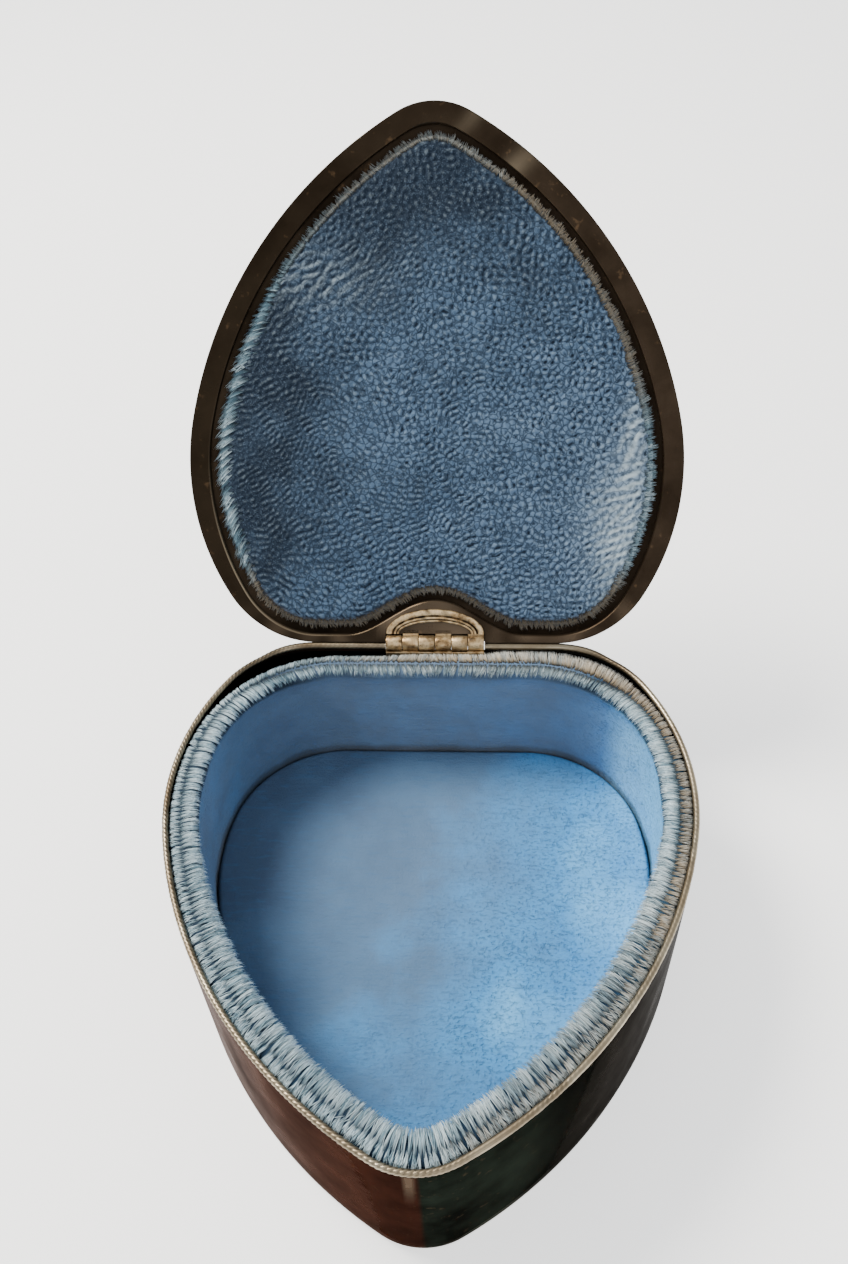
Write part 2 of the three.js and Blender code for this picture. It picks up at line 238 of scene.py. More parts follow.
def new_piece(name, points, faces, body, slot, material, smooth_angle=40.0, **values):
    """Makes a mesh object from points in millimetres and arrays of faces, facing outwards.

    The values become attributes of the points, one number each, for the materials to read.
    """
    faces = turned_outwards(points, faces)
    mesh = bpy.data.meshes.new(name)
    mesh.vertices.add(len(points))
    mesh.vertices.foreach_set("co", (points * MM).astype(np.float32).ravel())
    sizes = np.concatenate([np.full(len(f), f.shape[1]) for f in faces])
    starts = np.concatenate([[0], np.cumsum(sizes)[:-1]]).astype(np.int32)
    loops = np.concatenate([f.ravel() for f in faces]).astype(np.int32)
    mesh.loops.add(len(loops))
    mesh.loops.foreach_set("vertex_index", loops)
    mesh.polygons.add(len(sizes))
    mesh.polygons.foreach_set("loop_start", starts)
    mesh.update(calc_edges=True)
    mesh.shade_smooth()
    mesh.set_sharp_from_angle(angle=math.radians(smooth_angle))
    for key, carried in values.items():
        attribute = mesh.attributes.new(key, "FLOAT", "POINT")
        attribute.data.foreach_set("value", np.asarray(carried, np.float32).ravel())
    piece = bpy.data.objects.new(name, mesh)
    bpy.context.scene.collection.objects.link(piece)
    mesh.materials.append(material)
    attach(piece, body)
    print(name, len(points), "points,", int((sizes - 2).sum()), "triangles")
    return piece


def swept(p, n, insets, heights):
    """Grid of points: each row is the path moved inwards by its inset, at its height."""
    insets = np.asarray(insets, float)
    heights = np.asarray(heights, float)
    if insets.ndim == 1:
        insets = np.repeat(insets[:, None], len(p), 1)
        heights = np.repeat(heights[:, None], len(p), 1)
    flat = p[None] + n[None] * insets[..., None]
    return np.concatenate([flat, heights[..., None]], 2)


def arc_section(centre, radius, start, end, count):
    """Points of a section on an arc, as pairs of inset and height, angles in degrees."""
    angle = np.radians(np.linspace(start, end, count))
    return np.stack([centre[0] + radius * np.cos(angle), centre[1] + radius * np.sin(angle)], 1)


def ripple(points, wavelength, seed, waves=32):
    """Smooth random field from -1 to 1: a sum of cosine waves of one length in random directions."""
    rng = np.random.default_rng(seed)
    points = np.atleast_2d(points)
    direction = rng.normal(size=(waves, points.shape[1]))
    direction /= np.linalg.norm(direction, axis=1, keepdims=True)
    spread = rng.uniform(0.75, 1.35, waves)
    phase = points @ (direction * (2 * np.pi / wavelength * spread)[:, None]).T
    return np.cos(phase + rng.uniform(0, 2 * np.pi, waves)).sum(1) / math.sqrt(waves)


def soft_step(low, high, value):
    """0 below low, 1 above high, and a smooth S between."""
    t = np.clip((value - low) / (high - low), 0, 1)
    return t * t * (3 - 2 * t)


def spot(xy, centre, radius):
    """A soft round patch: 1 at its centre, falling off as a bell curve."""
    away = (xy - np.array(centre)) / np.array(radius)
    return np.exp(-(away**2).sum(-1))


# %% [markdown]
# ## Materials, one node at a time
#
# Every finish is a small network of nodes. One function adds a node: its settings by keyword, its
# numbers in `values`, and its incoming links in `links`. Colours are written as sRGB hex values,
# as they look on a screen, and Blender wants them linear.


# %% Node and colour helpers
def linear(hex_colour):
    """sRGB hex to linear RGBA: the dark end is a straight line, the rest a power of 2.4."""
    value = np.array([int(hex_colour[i : i + 2], 16) / 255 for i in (1, 3, 5)])
    value = np.where(value <= 0.04045, value / 12.92, ((value + 0.055) / 1.055) ** 2.4)
    return (*value, 1.0)


def add_node(tree, kind, values=None, links=None, **settings):
    """Adds one node to a tree, sets it, and links other nodes' sockets into it."""
    node = tree.nodes.new(kind)
    for key, value in settings.items():
        setattr(node, key, value)
    for key, value in (values or {}).items():
        node.inputs[key].default_value = value
    for key, socket in (links or {}).items():
        tree.links.new(socket, node.inputs[key])
    return node


def new_finish(name, **shader_values):
    """A material with one Principled shader, its plain numbers set on the shader itself."""
    material = bpy.data.materials.new(name)
    material.use_nodes = True
    tree = material.node_tree
    tree.nodes.clear()
    shader = add_node(tree, "ShaderNodeBsdfPrincipled", values=shader_values)
    add_node(tree, "ShaderNodeOutputMaterial", links={"Surface": shader.outputs["BSDF"]})
    return material, tree, shader


def noise_on_object(tree, size_mm, detail=4.0, roughness=0.55, stretch=(1, 1, 1)):
    """Noise with blobs about size_mm wide, on Object coordinates, longer along a stretched axis."""
    place = add_node(tree, "ShaderNodeTexCoord")
    mapping = add_node(
        tree, "ShaderNodeMapping",
        values={"Scale": tuple(1 / s for s in stretch)}, links={"Vector": place.outputs["Object"]},
    )
    return add_node(
        tree, "ShaderNodeTexNoise",
        values={"Scale": 1 / (size_mm * MM), "Detail": detail, "Roughness": roughness},
        links={"Vector": mapping.outputs["Vector"]},
    ).outputs["Fac"]


def ramp(tree, factor, stops):
    """Colours along a factor: stops are pairs of position and hex colour."""
    node = add_node(tree, "ShaderNodeValToRGB", links={"Fac": factor})
    elements = node.color_ramp.elements
    while len(elements) < len(stops):
        elements.new(0.5)
    for element, (position, colour) in zip(elements, stops):
        element.position = position
        element.color = linear(colour)
    return node.outputs["Color"]


def blend_colours(tree, factor, first, second):
    """Mixes two colours, each a socket or a hex value, by a factor that is a socket or a number."""
    node = add_node(tree, "ShaderNodeMix", data_type="RGBA")
    for slot_index, value in ((0, factor), (6, first), (7, second)):
        if isinstance(value, bpy.types.NodeSocket):
            tree.links.new(value, node.inputs[slot_index])
        elif isinstance(value, str):
            node.inputs[slot_index].default_value = linear(value)
        else:
            node.inputs[slot_index].default_value = value
    return node.outputs[2]


def point_value(tree, name):
    """The number that each point of the mesh carries under this name."""
    return add_node(tree, "ShaderNodeAttribute", attribute_name=name).outputs["Fac"]


def numbers(tree, operation, *inputs):
    """One sum, product or other step of arithmetic on numbers or sockets."""
    node = add_node(tree, "ShaderNodeMath", operation=operation)
    for i, value in enumerate(inputs):
        if isinstance(value, bpy.types.NodeSocket):
            tree.links.new(value, node.inputs[i])
        else:
            node.inputs[i].default_value = value
    return node.outputs[0]


def span(tree, value, low, high, to_low=0.0, to_high=1.0):
    """Maps a value from one span to another, held at both ends."""
    return add_node(
        tree, "ShaderNodeMapRange",
        values={"From Min": low, "From Max": high, "To Min": to_low, "To Max": to_high},
        links={"Value": value},
    ).outputs["Result"]


def bump(tree, shader, height, depth_mm, strength=1.0):
    """Tilts the shading normal as a relief of this depth would."""
    node = add_node(
        tree, "ShaderNodeBump",
        values={"Strength": strength, "Distance": depth_mm * MM}, links={"Height": height},
    )
    tree.links.new(node.outputs["Normal"], shader.inputs["Normal"])


# %% [markdown]
# ## Finish: tarnished silver plate
#
# Silver sulphide grows on old plate as a thin dark film. It is brown to maroon where it is thin and
# green-black where it is thick, and the polish underneath still mirrors. On the case, the maroon
# left flank and the green-black right one are partly a painted reflection of dark surroundings. The
# film dulls the metal, so the shader is only part metal, with a dark base colour, a low roughness and
# a specular tint that keeps glancing reflections dark. Cloudy noise moves it between two tones. Each
# point also carries how far it is worn down to bare silver or lit by a painted highlight, how dusty
# it is, and how dark it is painted with shade, as the inside of the case is.
# Fine scratches, far too small to model, are a bump of stretched noise.


# %% Tarnished silver plate
def tarnished_plate(name, left, right, speck, bare, border_mm, roughness, metallic):
    """Dark metal with one tone left and one right of a border, both clouded by noise.

    The tones carry a painted reflection. The border is sharp at the tip, where a fold of the sheet
    turns the two flanks to different surroundings and parts their tones, and cloudy at the back. It
    lies between the two border values, in millimetres to the right of the middle.
    """
    material, tree, shader = new_finish(
        name, Metallic=metallic, Roughness=0.25,
        **{"Specular IOR Level": 0.0, "Specular Tint": linear("#7d736c")},
    )
    place = add_node(tree, "ShaderNodeTexCoord")
    split = add_node(tree, "ShaderNodeSeparateXYZ", links={"Vector": place.outputs["Object"]})
    cloud = noise_on_object(tree, 13, detail=5, roughness=0.6)
    sharp = span(tree, split.outputs["X"], border_mm[0] * MM, border_mm[1] * MM)
    wide = numbers(tree, "ADD", split.outputs["X"], span(tree, cloud, 0.3, 0.7, -25 * MM, 25 * MM))
    towards_back = span(tree, split.outputs["Y"], -30 * MM, 5 * MM)
    at_tip = numbers(tree, "MULTIPLY", sharp, numbers(tree, "SUBTRACT", 1.0, towards_back))
    at_back = numbers(tree, "MULTIPLY", span(tree, wide, -30 * MM, 30 * MM), towards_back)
    side = numbers(tree, "ADD", at_tip, at_back)
    fine = noise_on_object(tree, 1.6, detail=3)
    left_tone = ramp(tree, cloud, [(0.35, left[0]), (0.65, left[1])])
    right_tone = ramp(tree, cloud, [(0.35, right[0]), (0.65, right[1])])
    colour = blend_colours(tree, side, left_tone, right_tone)
    specks = numbers(tree, "MULTIPLY", span(tree, fine, 0.64, 0.76), 0.3)
    colour = blend_colours(tree, specks, colour, speck)
    # Wear down to bare silver, and painted highlights.
    colour = blend_colours(tree, point_value(tree, "worn"), colour, bare)
    colour = blend_colours(tree, point_value(tree, "dust"), colour, "#6a5b4a")
    # Painted shade, darkening towards black.
    colour = blend_colours(tree, point_value(tree, "soot"), colour, "#050505")
    tree.links.new(colour, shader.inputs["Base Color"])
    tree.links.new(span(tree, cloud, 0.3, 0.7, *roughness), shader.inputs["Roughness"])
    scratches = noise_on_object(tree, 0.5, detail=2, stretch=(9, 1, 1))
    bump(tree, shader, scratches, 0.01, strength=0.35)
    return material


# On the case, the maroon left tones and green-black right tones are partly a painted reflection.
case_silver = tarnished_plate(
    "tarnished_case_silver", ("#472a20", "#271712"), ("#2b332b", "#10120f"),
    speck="#6b5a45", bare="#b7ab92", border_mm=(0.2, 0.9), roughness=(0.22, 0.4), metallic=0.45,
)
lid_silver = tarnished_plate(
    "tarnished_lid_silver", ("#2c241b", "#1e1811"), ("#30271e", "#201912"),
    speck="#6b543c", bare="#a3937a", border_mm=(-20, 30), roughness=(0.2, 0.42), metallic=0.6,
)

# %% [markdown]
# ## Finish: roped wire and gilt brass
#
# The wire on the rim is made of fine silver strands twisted together. Hands have kept the crests
# bright and dirt has stayed in the grooves, so each point carries how deep it lies in a groove; along
# the back the wire is also painted dark with shade. The hinge is brass with remains of gilding:
# yellow and dull on what stands out, almost black in its hollows, and each of its points carries
# how hollow it lies.


# %% Roped wire
rope_silver, tree, shader = new_finish("rubbed_rope_silver", Metallic=1.0, Roughness=0.34)
groove = point_value(tree, "groove")
patches = noise_on_object(tree, 9, detail=4)
crest = ramp(tree, patches, [(0.3, "#d6cbb0"), (0.5, "#b3a58b"), (0.7, "#85755d")])
colour = blend_colours(tree, numbers(tree, "MULTIPLY", groove, 0.85), crest, "#3a2f23")
tree.links.new(colour, shader.inputs["Base Color"])
tree.links.new(span(tree, patches, 0.3, 0.7, 0.26, 0.46), shader.inputs["Roughness"])

# %% Gilt brass
gilt_brass, tree, shader = new_finish("dull_gilt_brass", Metallic=0.85, Roughness=0.4)
hollow = point_value(tree, "hollow")
blotch = noise_on_object(tree, 1.9, detail=5, roughness=0.72)
bright = ramp(tree, blotch, [(0.32, "#4f3c24"), (0.44, "#a5875f"), (0.58, "#d6bd92"), (0.68, "#6d5536")])
dark = ramp(tree, noise_on_object(tree, 0.9, detail=3), [(0.35, "#17120d"), (0.7, "#4b3a26")])
colour = blend_colours(tree, hollow, bright, dark)
tree.links.new(colour, shader.inputs["Base Color"])
tree.links.new(span(tree, blotch, 0.3, 0.7, 0.3, 0.55), shader.inputs["Roughness"])
bump(tree, shader, noise_on_object(tree, 0.35, detail=3), 0.03, strength=0.6)

# %% [markdown]
# ## Finish: velvet
#
# Velvet is a cut pile of silk or cotton standing on a woven ground. Looked at along the pile it is
# deep and dark, and where the pile leans or the light grazes it, the fibre tips shine. Blender's
# sheen does that, and painted light and shade in each point's tone add to it. On top come the things
# that age does: blotches where the pile is pressed, faint rows of the ground weave, and dust. The
# crushed velvet has a finer net of creases than its mesh carries, drawn along the edges of Voronoi
# cells about a millimetre wide and painted dark as shade. Where the pile is long enough to see, it
# is made as tufts. Fibres and weave are drawn coarser than real ones, to show.


# %% Smooth velvet
def smooth_velvet(name, dark, light, marks, deep, weave_mm=1.5):
    """Short pile pressed smooth: painted light and shade set its tone, with blotches and weave on top.

    Each point carries painted light, from 0, painted shade where the pile leans away from the light,
    to 1, painted light where it leans in.
    """
    material, tree, shader = new_finish(
        name, Roughness=0.95,
        **{"Sheen Weight": 0.07, "Sheen Roughness": 0.45, "Sheen Tint": linear("#c3d8f2"),
           "Specular IOR Level": 0.1},
    )
    blotches = noise_on_object(tree, 8, detail=5, roughness=0.6)
    # The tone follows each point's painted light, clouded by blotches.
    lie = numbers(tree, "ADD", point_value(tree, "nap"), span(tree, blotches, 0.3, 0.7, -0.07, 0.07))
    colour = ramp(tree, lie, [(0.0, dark[0]), (0.4, dark[1]), (0.7, light[0]), (1.0, light[1])])
    fuzz = noise_on_object(tree, 0.45, detail=3, roughness=0.7)
    rows = noise_on_object(tree, weave_mm * 0.45, detail=3, stretch=(5, 1, 1))
    worn_rows = numbers(tree, "MULTIPLY", span(tree, rows, 0.53, 0.7), 0.42)
    colour = blend_colours(tree, worn_rows, colour, marks)
    pits = noise_on_object(tree, 0.5, detail=3, roughness=0.65, stretch=(1.4, 1, 1))
    lit = span(tree, point_value(tree, "nap"), 0.42, 0.66)
    pits = numbers(tree, "MULTIPLY", span(tree, pits, 0.54, 0.68), lit)
    colour = blend_colours(tree, numbers(tree, "MULTIPLY", pits, 0.16), colour, marks)
    colour = blend_colours(tree, point_value(tree, "shade"), colour, deep)
    colour = blend_colours(tree, point_value(tree, "dust"), colour, "#a39787")
    tree.links.new(colour, shader.inputs["Base Color"])
    relief = numbers(tree, "MULTIPLY", fuzz, 0.8)
    relief = numbers(tree, "ADD", relief, numbers(tree, "MULTIPLY", rows, 0.8))
    relief = numbers(tree, "SUBTRACT", relief, pits)
    bump(tree, shader, relief, 0.32, strength=0.75)
    return material


light_velvet = smooth_velvet(
    "light_blue_velvet", dark=("#435770", "#53718f"), light=("#4c93cb", "#80ceff"),
    marks="#43688c", deep="#141c25",
)

# %% Crushed velvet
deep_velvet, tree, shader = new_finish(
    "crushed_deep_blue_velvet", Roughness=0.9,
    **{"Sheen Weight": 0.3, "Sheen Roughness": 0.35, "Sheen Tint": linear("#a9c4e6"),
       "Specular IOR Level": 0.15},
)
worn = point_value(tree, "worn")
place = add_node(tree, "ShaderNodeTexCoord").outputs["Object"]
SHAKES_PER_METRE = 900
SHAKE_REACH = 0.9 * MM
CELL = 1.15 * MM
shake = add_node(
    tree, "ShaderNodeTexNoise", values={"Scale": SHAKES_PER_METRE}, links={"Vector": place},
)
shaken = add_node(
    tree, "ShaderNodeVectorMath", operation="MULTIPLY_ADD",
    values={1: (SHAKE_REACH,) * 3}, links={0: shake.outputs["Color"], 2: place},
)
cell_edge = add_node(
    tree, "ShaderNodeTexVoronoi", feature="DISTANCE_TO_EDGE",
    values={"Scale": 1 / CELL}, links={"Vector": shaken.outputs[0]},
).outputs["Distance"]
# Painted shade in the fine creases, which are also a bump; none where the pile is worn.
fine_crease = span(tree, cell_edge, 0.02, 0.17, 0.75, 0.0)
fine_crease = numbers(tree, "MULTIPLY", fine_crease, numbers(tree, "SUBTRACT", 1.0, worn))
crease = numbers(tree, "MAXIMUM", point_value(tree, "crease"), fine_crease)
# The tone follows each point's painted light, clouded by noise.
clouds = span(tree, noise_on_object(tree, 9, detail=3), 0.3, 0.7, -0.15, 0.15)
tone = numbers(tree, "ADD", point_value(tree, "nap"), clouds)
top = ramp(tree, tone, [(0.0, "#19232f"), (0.5, "#45596f"), (1.0, "#647a92")])
top = blend_colours(tree, worn, top, "#a3b2b8")
fibres = noise_on_object(tree, 0.3, detail=2, roughness=0.7)
top = blend_colours(tree, numbers(tree, "MULTIPLY", span(tree, fibres, 0.5, 0.75), 0.25), top, "#869db5")
colour = blend_colours(tree, crease, top, "#18222f")
colour = blend_colours(tree, point_value(tree, "dust"), colour, "#5f5246")
tree.links.new(colour, shader.inputs["Base Color"])
bump(tree, shader, numbers(tree, "SUBTRACT", fibres, fine_crease), 0.14, strength=0.6)

# %% Loose pile
loose_pile, tree, shader = new_finish(
    "loose_velvet_pile", Roughness=0.85,
    **{"Sheen Weight": 0.2, "Sheen Roughness": 0.4, "Sheen Tint": linear("#dbe8f5"),
       "Specular IOR Level": 0.15},
)
along = point_value(tree, "along")
paleness = point_value(tree, "paleness")
tip_colour = ramp(tree, paleness, [(0.0, "#44606f"), (0.5, "#86a7b5"), (1.0, "#e0f2f7")])
# Painted shade: the strands are darkest at the root, down in the pile.
root_colour = ramp(tree, paleness, [(0.0, "#121a1f"), (0.5, "#25323a"), (1.0, "#44565f")])
colour = blend_colours(tree, span(tree, along, 0.05, 0.75), root_colour, tip_colour)
dirty = ramp(tree, along, [(0.0, "#2b241a"), (0.4, "#a4957c"), (1.0, "#e8e0cf")])
colour = blend_colours(tree, point_value(tree, "dust"), colour, dirty)
tree.links.new(colour, shader.inputs["Base Color"])

# %% [markdown]
# ## The case
#
# The case is one pressed shell: a flat bottom, an edge of 2 mm radius, and an upright wall of sheet
# metal, with slow dents. Its section is carried round the heart. At the back the wall is cut down
# for the barrel of the hinge, which here is a lower height for the few columns between two close
# pairs of points. The wall ends inside the rim's wire, and its fold at the tip has a painted
# highlight, a thin bright line. Inside, the metal is painted black as shade.


# %% Case shell
notch_marks = (NOTCH_HALF, heart_length(CASE_HEART) - NOTCH_HALF)
case_s = path_steps(CASE_HEART, 0.7, notch_marks)
case_p, case_n = on_heart(CASE_HEART, case_s)
WIRE_SEAT = 0.85
wall_top = RIM - WIRE * WIRE_SEAT
outer_edge = arc_section((EDGE_RADIUS, EDGE_RADIUS), EDGE_RADIUS, 270, 180, 7)
inner_edge = arc_section((WALL + 1, WALL + 1), 1.0, 180, 270, 5)
wall_rows = np.linspace(EDGE_RADIUS + 2, wall_top, 12)
section = np.concatenate([
    outer_edge,
    np.stack([np.zeros_like(wall_rows), wall_rows], 1),
    [[WALL, wall_top]],
    [[WALL, wall_top - 8]],
    inner_edge,
])
points = swept(case_p, case_n, section[:, 0], section[:, 1])
in_notch = (np.abs(case_p[:, 0]) < NOTCH_HALF) & (case_p[:, 1] > 0)
notch_floor = axis_z - BARREL_SPACE
points[:, in_notch, 2] = np.minimum(points[:, in_notch, 2], notch_floor)
dent = ripple(points[0, :, :2], 26, seed=3)[None] * np.sin(np.pi * np.clip(points[..., 2] / RIM, 0, 1))
points[..., :2] += case_n[None] * (0.07 * dent)[..., None]
rows, columns = points.shape[:2]
flat = np.concatenate([points.reshape(-1, 3), [[0, 0, 0], [0, 0, WALL]]])
height = flat[:, 2]
# Painted highlight: a thin bright line down the fold at the tip.
tip_wear = spot(flat[:, :2], (-0.7, body_low[1]), (0.3, 3.0)) * soft_step(22, 33, height)
edge_wear = 0.35 * soft_step(2.2, 0.6, height) * (height > 0.02)
first_inside = len(outer_edge) + len(wall_rows)
# Painted shade: the inside of the case is painted black, and its right front flank darker.
is_inside = np.append(np.repeat(np.arange(rows) >= first_inside, columns), [False, True])
stain = 0.8 * soft_step(12, 22, flat[:, 0]) * soft_step(30, 0, flat[:, 1])
case_shell = new_piece(
    "case_shell", flat, capped_tube(rows, columns), "base", "tarnished_silver", case_silver,
    worn=np.clip(tip_wear * 0.8 + edge_wear, 0, 1), dust=np.zeros(len(flat)),
    soot=np.maximum(is_inside, stain),
)
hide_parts("base_body")

# %% [markdown]
# ## The roped wire
#
# Four fine strands twisted together make a wire with slanting grooves. Round its section the radius
# follows the rounds of the strands, R − g·(1 − |cos 2t|), and t turns as the wire runs along. Hands
# have worn the right side nearly smooth. The wire starts and ends beside the hinge. It is a little
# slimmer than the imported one, but along the back it swells and sits further out, so that it meets
# the lid's edge there.

# %% Rim wire
GROOVE = 0.13
TWIST_PITCH = 3.6
SLIMMER = 0.09
BACK_SWELL = 0.14
BACK_OUTWARDS = 0.45
wire_length = heart_length(CASE_HEART) - 2 * NOTCH_HALF
wire_s = NOTCH_HALF + np.linspace(0, wire_length, round(wire_length / 0.2))
wire_p, wire_n = on_heart(CASE_HEART, wire_s)
around = np.linspace(0, 2 * np.pi, 25)[:-1]
turned_by = around[:, None] - 2 * np.pi * wire_s[None] / TWIST_PITCH
at_lid = soft_step(44, 47, wire_p[:, 1])
crisp = 1 - 0.8 * soft_step(-6, 12, wire_p[:, 0]) * (0.8 + 0.2 * ripple(wire_s[:, None], 20, seed=6))
crisp *= 1 - 0.7 * at_lid
radius = WIRE / 2 - SLIMMER - GROOVE * crisp[None] * (1 - np.abs(np.cos(2 * turned_by)))
radius *= 1 - 0.03 * ripple(wire_s[:, None], 7.0, seed=5)[None] ** 2
radius += BACK_SWELL * at_lid
insets = WALL / 2 - BACK_OUTWARDS * at_lid + radius * np.cos(around)[:, None]
heights = RIM - WIRE / 2 + radius * np.sin(around)[:, None]
points = swept(wire_p, wire_n, insets, heights).transpose(1, 0, 2)
rows, columns = points.shape[:2]
ends = np.stack([points[0].mean(0), points[-1].mean(0)])
flat = np.concatenate([points.reshape(-1, 3), ends])
deep = (WIRE / 2 - radius) / (WIRE / 2 - radius.min())
# Painted shade: the wire is painted dark along the back.
grimy_back = 0.9 * soft_step(38, 45, wire_p[:, 1])
rim_wire = new_piece(
    "roped_rim_wire", flat, capped_tube(rows, columns),
    "base", "rim_silver", rope_silver, smooth_angle=60,
    groove=np.append(np.clip(deep.T + grimy_back[:, None], 0, 1).ravel(), [0.5, 0.5]),
)
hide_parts("base_rim_wire")

# %% [markdown]
# ## The velvet round the wall
#
# A strip of card, wadded and covered with velvet, stands inside the wall and ends in a soft roll
# just under the rim. Its section is a thin upright strip with a round head. The section is carried
# round a slightly different heart, which leaves a wider gap at the back, as on the real box. Small
# ripples in the wadding keep the surface from looking machined. Painted light makes the velvet
# lightest on the right wall and darker at the back left, the dust lies on the back and the left,
# and painted shade darkens the foot of the wall and the ground of the roll, because its pile stands
# over it.

# %% Wall lining
LINING_OUTER = 1.9
LINING_INNER = 5.1
ROLL_WIDTH = 4.7
ROLL_HEIGHT = 3.4
ROLL_MIDDLE = (LINING_OUTER + LINING_INNER) / 2
ROLL_CENTRE = lining_high[2] - ROLL_HEIGHT / 2
LINING_LOW = lining_low[2]


def roll_section(angle):
    """Inset and height on the roll's ellipse: 0° faces the inside, and 180° faces the wall."""
    return (
        ROLL_MIDDLE + ROLL_WIDTH / 2 * np.cos(angle),
        ROLL_CENTRE + ROLL_HEIGHT / 2 * np.sin(angle),
    )


lining_s = path_steps(LINING_HEART, 0.55)
lining_p, lining_n = on_heart(LINING_HEART, lining_s)
roll_angle = np.radians(np.linspace(205, -25, 27))
roll_inset, roll_height = roll_section(roll_angle)
inner_rows = np.linspace(roll_height[-1] - 1.2, LINING_LOW + 0.6, 30)
settle = np.linspace(0, 1, 30)
inner_inset = LINING_INNER + 0.25 * np.exp(-settle * 14) - 0.12 * np.sin(np.pi * settle)
outer_rows = np.linspace(LINING_LOW, roll_height[0] - 0.8, 6)
section = np.concatenate([
    np.stack([np.full(6, LINING_OUTER), outer_rows], 1),
    np.stack([roll_inset, roll_height], 1),
    np.stack([inner_inset, inner_rows], 1),
    [[LINING_INNER + 0.1, LINING_LOW]],
])
points = swept(lining_p, lining_n, section[:, 0], section[:, 1])
rows, columns = points.shape[:2]
soft = ripple(points.reshape(-1, 3), 9, seed=11).reshape(rows, columns) * 0.12
soft += ripple(points.reshape(-1, 3), 3.2, seed=12).reshape(rows, columns) * 0.05
soft[:6] = 0
soft[-1] = 0
points[..., :2] += lining_n[None] * soft[..., None]
flat = points.reshape(-1, 3)
# Painted shade at the foot of the wall and on the ground of the roll.
crease_low = 0.6 * soft_step(1.0, -0.4, flat[:, 2] - pad_high[2])
on_roll = 0.92 * soft_step(32.2, 33.3, flat[:, 2]) * (1 - 0.7 * soft_step(38, 43, flat[:, 1]))
# Painted light: lightest on the right wall, darker at the back left.
wall_nap = 0.56 - 0.22 * spot(flat[:, :2], (-28, 34), (13, 13)) - 0.1 * soft_step(20, 38, flat[:, 1])
wall_nap += 0.6 * soft_step(24, 37, flat[:, 0]) * soft_step(44, 30, flat[:, 1])
wall_dust = 0.22 * soft_step(20, 38, flat[:, 1]) * (0.3 + 0.7 * soft_step(-34, -4, flat[:, 0]))
wall_dust += 0.26 * soft_step(-24, -36, flat[:, 0]) * soft_step(32, 16, flat[:, 1])
wall_lining = new_piece(
    "wall_lining_velvet", flat, [grid_quads(rows, columns, close_rows=True)],
    "base", "light_blue_velvet", light_velvet, smooth_angle=80,
    nap=np.clip(wall_nap, 0, 1), shade=np.clip(crease_low + on_roll, 0, 1),
    dust=wall_dust * (1 - on_roll),
)
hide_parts("base_wall_lining")

# %% [markdown]
# ## Round pads on an even grid
#
# The pads on the floor and in the lid are flat cushions with a heart's outline. Rings that shrink
# to the middle would crowd the points there. An even net is better: take a square grid, bend it to
# a disc (x·√(1 − y²/2), y·√(1 − x²/2)), and stretch the disc along each ray to the outline. The
# net's rim then turns down the side of the pad and is closed behind by a fan.


# %% A cushion from a square net
def net_in_outline(outline, middle, count):
    """Points of a square net stretched into an outline, each with its distance to the edge.

    A ray from the middle at angle t meets the outline at R(t). A point of the disc at radius q goes
    to q·R(t). Its distance to the edge is about (1 − q)·R(t) times the cosine of the angle between
    the ray and the outline's normal.
    """
    ray = outline - middle
    angle = np.arctan2(ray[:, 1], ray[:, 0])
    order = np.argsort(angle)
    ray, angle = ray[order], angle[order]
    reach = np.hypot(*ray.T)
    tangent = np.roll(ray, -1, 0) - np.roll(ray, 1, 0)
    tangent /= np.hypot(*tangent.T)[:, None]
    facing = np.abs(ray[:, 0] * tangent[:, 1] - ray[:, 1] * tangent[:, 0]) / reach
    u, v = np.meshgrid(np.linspace(-1, 1, count), np.linspace(-1, 1, count), indexing="ij")
    x = u * np.sqrt(1 - v**2 / 2)
    y = v * np.sqrt(1 - u**2 / 2)
    q = np.clip(np.hypot(x, y), 0, 1)
    t = np.arctan2(y, x)
    r = np.interp(t, angle, reach, period=2 * np.pi)
    cosine = np.interp(t, angle, facing, period=2 * np.pi)
    net = middle + (q * r)[..., None] * np.stack([np.cos(t), np.sin(t)], -1)
    return net, (1 - q) * r * cosine, q


def round_drop(inside, radius):
    """Depth of a round edge below its face at a distance inside the outline: r − √(r² − (r − d)²)."""
    return radius - np.sqrt(radius**2 - (radius - np.clip(inside, 0, radius)) ** 2)


def net_rim(count):
    """Numbers of the points round the rim of a square net, in order."""
    number = np.arange(count * count).reshape(count, count)
    return np.concatenate([number[:-1, 0], number[-1, :-1], number[:0:-1, -1], number[0, :0:-1]])


def cushion(net, face_height, side_heights):
    """Closed cushion: the net as its face, then rings of its rim at the side heights, then a fan."""
    count = net.shape[0]
    face = np.concatenate([net.reshape(-1, 2), face_height.reshape(-1, 1)], 1)
    rim = net_rim(count)
    rings = [np.concatenate([face[rim, :2], np.full((len(rim), 1), z)], 1) for z in side_heights]
    middle = np.append(face[rim, :2].mean(0), side_heights[-1])
    points = np.concatenate([face, *rings, middle[None]])
    ring_starts = count * count + np.arange(len(rings)) * len(rim)
    loops = [rim] + [start + np.arange(len(rim)) for start in ring_starts]
    sides = [np.stack([b, np.roll(b, -1), np.roll(a, -1), a], 1) for a, b in zip(loops, loops[1:])]
    faces = [
        grid_quads(count, count, close_columns=False),
        *sides,
        fan(loops[-1], len(points) - 1, turned=True),
    ]
    return points, faces


# %% [markdown]
# ## The pad on the floor
#
# The floor pad is the same light velvet over a thin pad, a little crowned, and pressed nearly flat
# by a century of rings. Its edge turns down in a small round, painted in shade, which draws the dark
# line along the foot of the wall. Painted light runs from shade at the back left to bright at the
# front right.

